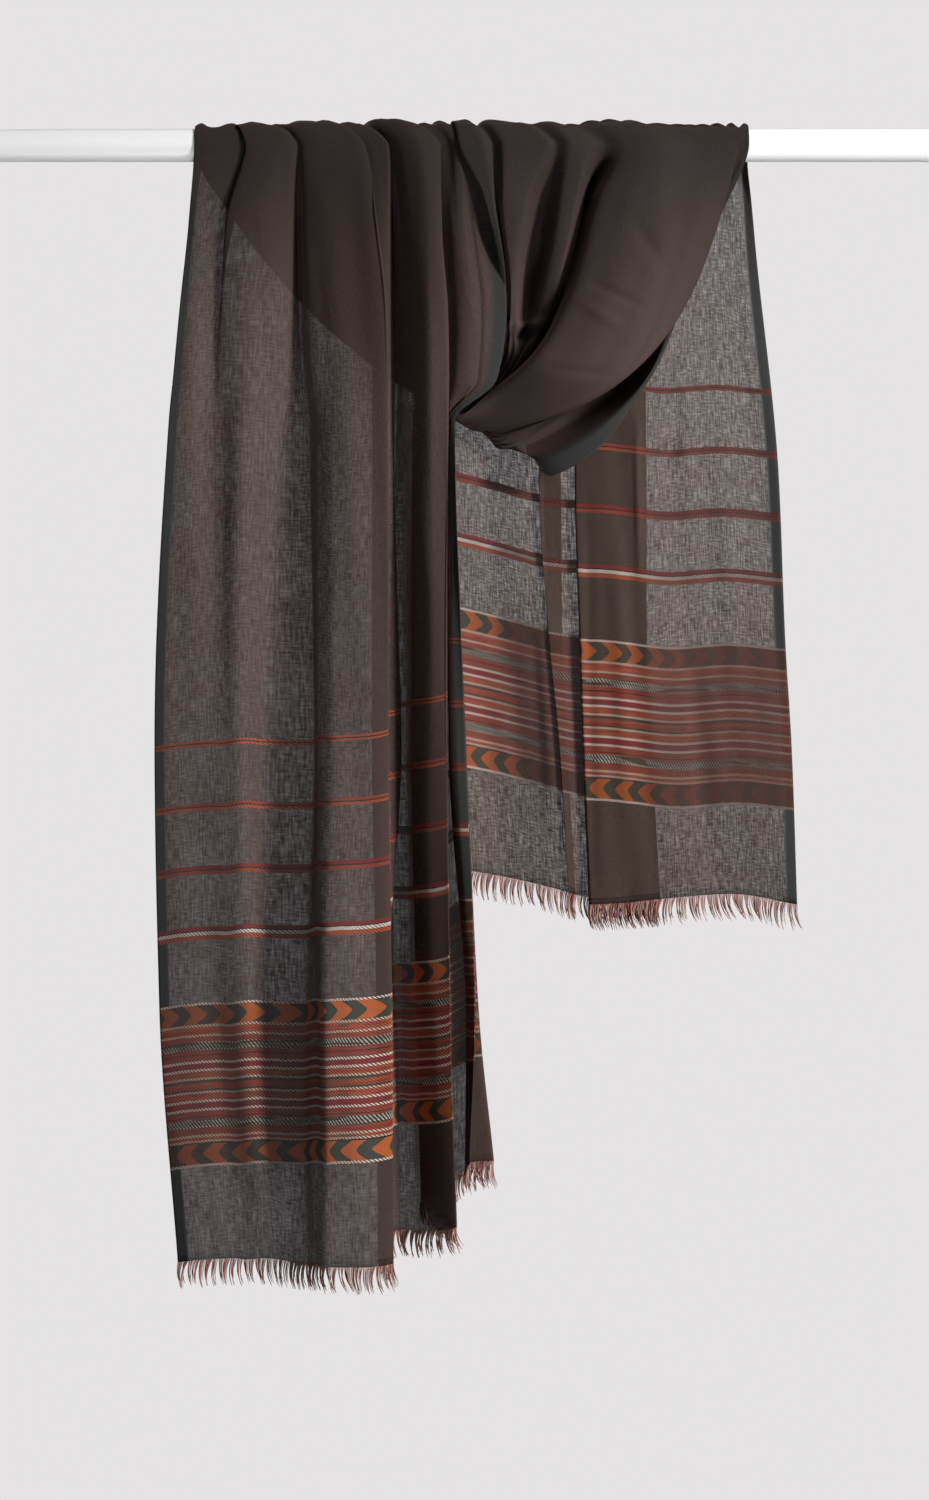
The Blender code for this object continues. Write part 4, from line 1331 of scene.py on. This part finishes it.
rod_paint = new_material("rod_paint")
tree = rod_paint.node_tree
place = wire(added(tree, "ShaderNodeTexCoord"), "Object")
drawn_out = added(tree, "ShaderNodeMapping", {"Vector": place, "Scale": BRUSH_MARKS_IN_A_METRE})
brush = wire(added(tree, "ShaderNodeTexNoise", {"Vector": wire(drawn_out, "Vector"), "Scale": 1.0}))
finished(rod_paint, {
    "Base Color": mixed(brush, PAINT_DARK, PAINT_PALE),
    "Roughness": brush * BRUSH_ROUGHNESS + PAINT_ROUGHNESS})
rod_bar.data.materials.append(rod_paint)
print("finishes:", [m.name for m in bpy.data.materials if m.users])

# %% [markdown]
# ## What each piece is
#
# Every piece rides on the one body and stands for its CAD node, which is hidden.

# %% Tell the frame
for piece, node, paint in (
        (front_fall, "front_fall", "woven_wool"), (back_fall, "back_fall", "woven_wool"),
        (swag, "swag", "woven_wool"), (loop_back, "loop_back", "woven_wool"),
        (front_fringe, "front_fringe", "fringe_yarn"), (back_fringe, "back_fringe", "fringe_yarn"),
        (rod_bar, "rod", "rod_paint")):
    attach(piece, "root")
    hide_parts(node)

# %% [markdown]
# ## Floor, light and backdrop
#
# The picture has an even, pale backdrop. The world's colour is that backdrop wherever the camera
# looks past the cloth, and a dimmer light for the cloth itself, so that the folds keep their depth.
# A soft light stands at the right of the camera and a much weaker one at its left. One from above
# catches the roll, and one from behind shines through the sheer cloth. Two narrow lights reach the
# rod's ends from below, because white paint would look grey there without them.

# %% Stage
BACKDROP = (0.783, 0.768, 0.775)
AMBIENT = (0.072, 0.072, 0.074)
FLOOR_DROP = 0.25
FLOOR_SIZE = 0.6
FLOOR_COLOUR = (0.72, 0.71, 0.71, 1)
SPOT_RADIUS, SPOT_SOFT_SHARE = 0.3, 0.6

bpy.context.scene.view_settings.view_transform = "Standard"
bpy.ops.mesh.primitive_plane_add(size=FLOOR_SIZE, location=(0, 0, cad_box[0][2] - FLOOR_DROP))
floor = bpy.context.object
floor.name = "floor"
floor.data.materials.append(finished(new_material("floor"), {
    "Base Color": FLOOR_COLOUR, "Roughness": 0.9}))

world = bpy.data.worlds.new("studio")
bpy.context.scene.world = world
world.use_nodes = True
air = world.node_tree
to_camera = wire(added(air, "ShaderNodeLightPath"), "Is Camera Ray")
joined(mixed(to_camera, AMBIENT, BACKDROP), air.nodes["Background"].inputs["Color"])


def soft_light(name, place, target, size, watts):
    """A square area light that points at a target."""
    lamp = bpy.data.lights.new(name, "AREA")
    lamp.size = size
    lamp.energy = watts
    made = placed(name, lamp)
    made.location = place
    made.rotation_euler = (Vector(target) - Vector(place)).to_track_quat("-Z", "Y").to_euler()
    return made


def narrow_light(name, place, target, degrees, watts):
    """A spot that lights only what it points at."""
    made = soft_light(name, place, target, SPOT_RADIUS, watts)
    made.data.type = "SPOT"
    made.data.shadow_soft_size = SPOT_RADIUS
    made.data.spot_size = math.radians(degrees)
    made.data.spot_blend = SPOT_SOFT_SHARE
    return made


LIGHTS = (
    # light, its place, what it points at, its size in metres and its power in watts
    ("key_light", (2.7, -2.2, 0.9), (0.0, 0.0, -0.50), 0.8, 188),
    ("fill_light", (-2.4, -2.8, -0.2), (0.0, 0.0, -0.50), 2.0, 3),
    ("top_light", (0.9, -1.0, 2.4), (0.0, 0.0, -0.1), 1.0, 36),
    ("back_light", (-1.4, 3.0, 0.6), (0.0, 0.0, -0.45), 1.5, 50),
)
for light in LIGHTS:
    soft_light(*light)
ROD_END_PLACE = ROD_LENGTH * 0.41
ROD_LIGHT_DEGREES, ROD_LIGHT_WATTS = 9, 440
for number, end in enumerate((-ROD_END_PLACE, ROD_END_PLACE)):
    narrow_light(f"rod_light_{number}", (end, -0.75, -1.6), (end, 0.0, 0.0),
                 ROD_LIGHT_DEGREES, ROD_LIGHT_WATTS)
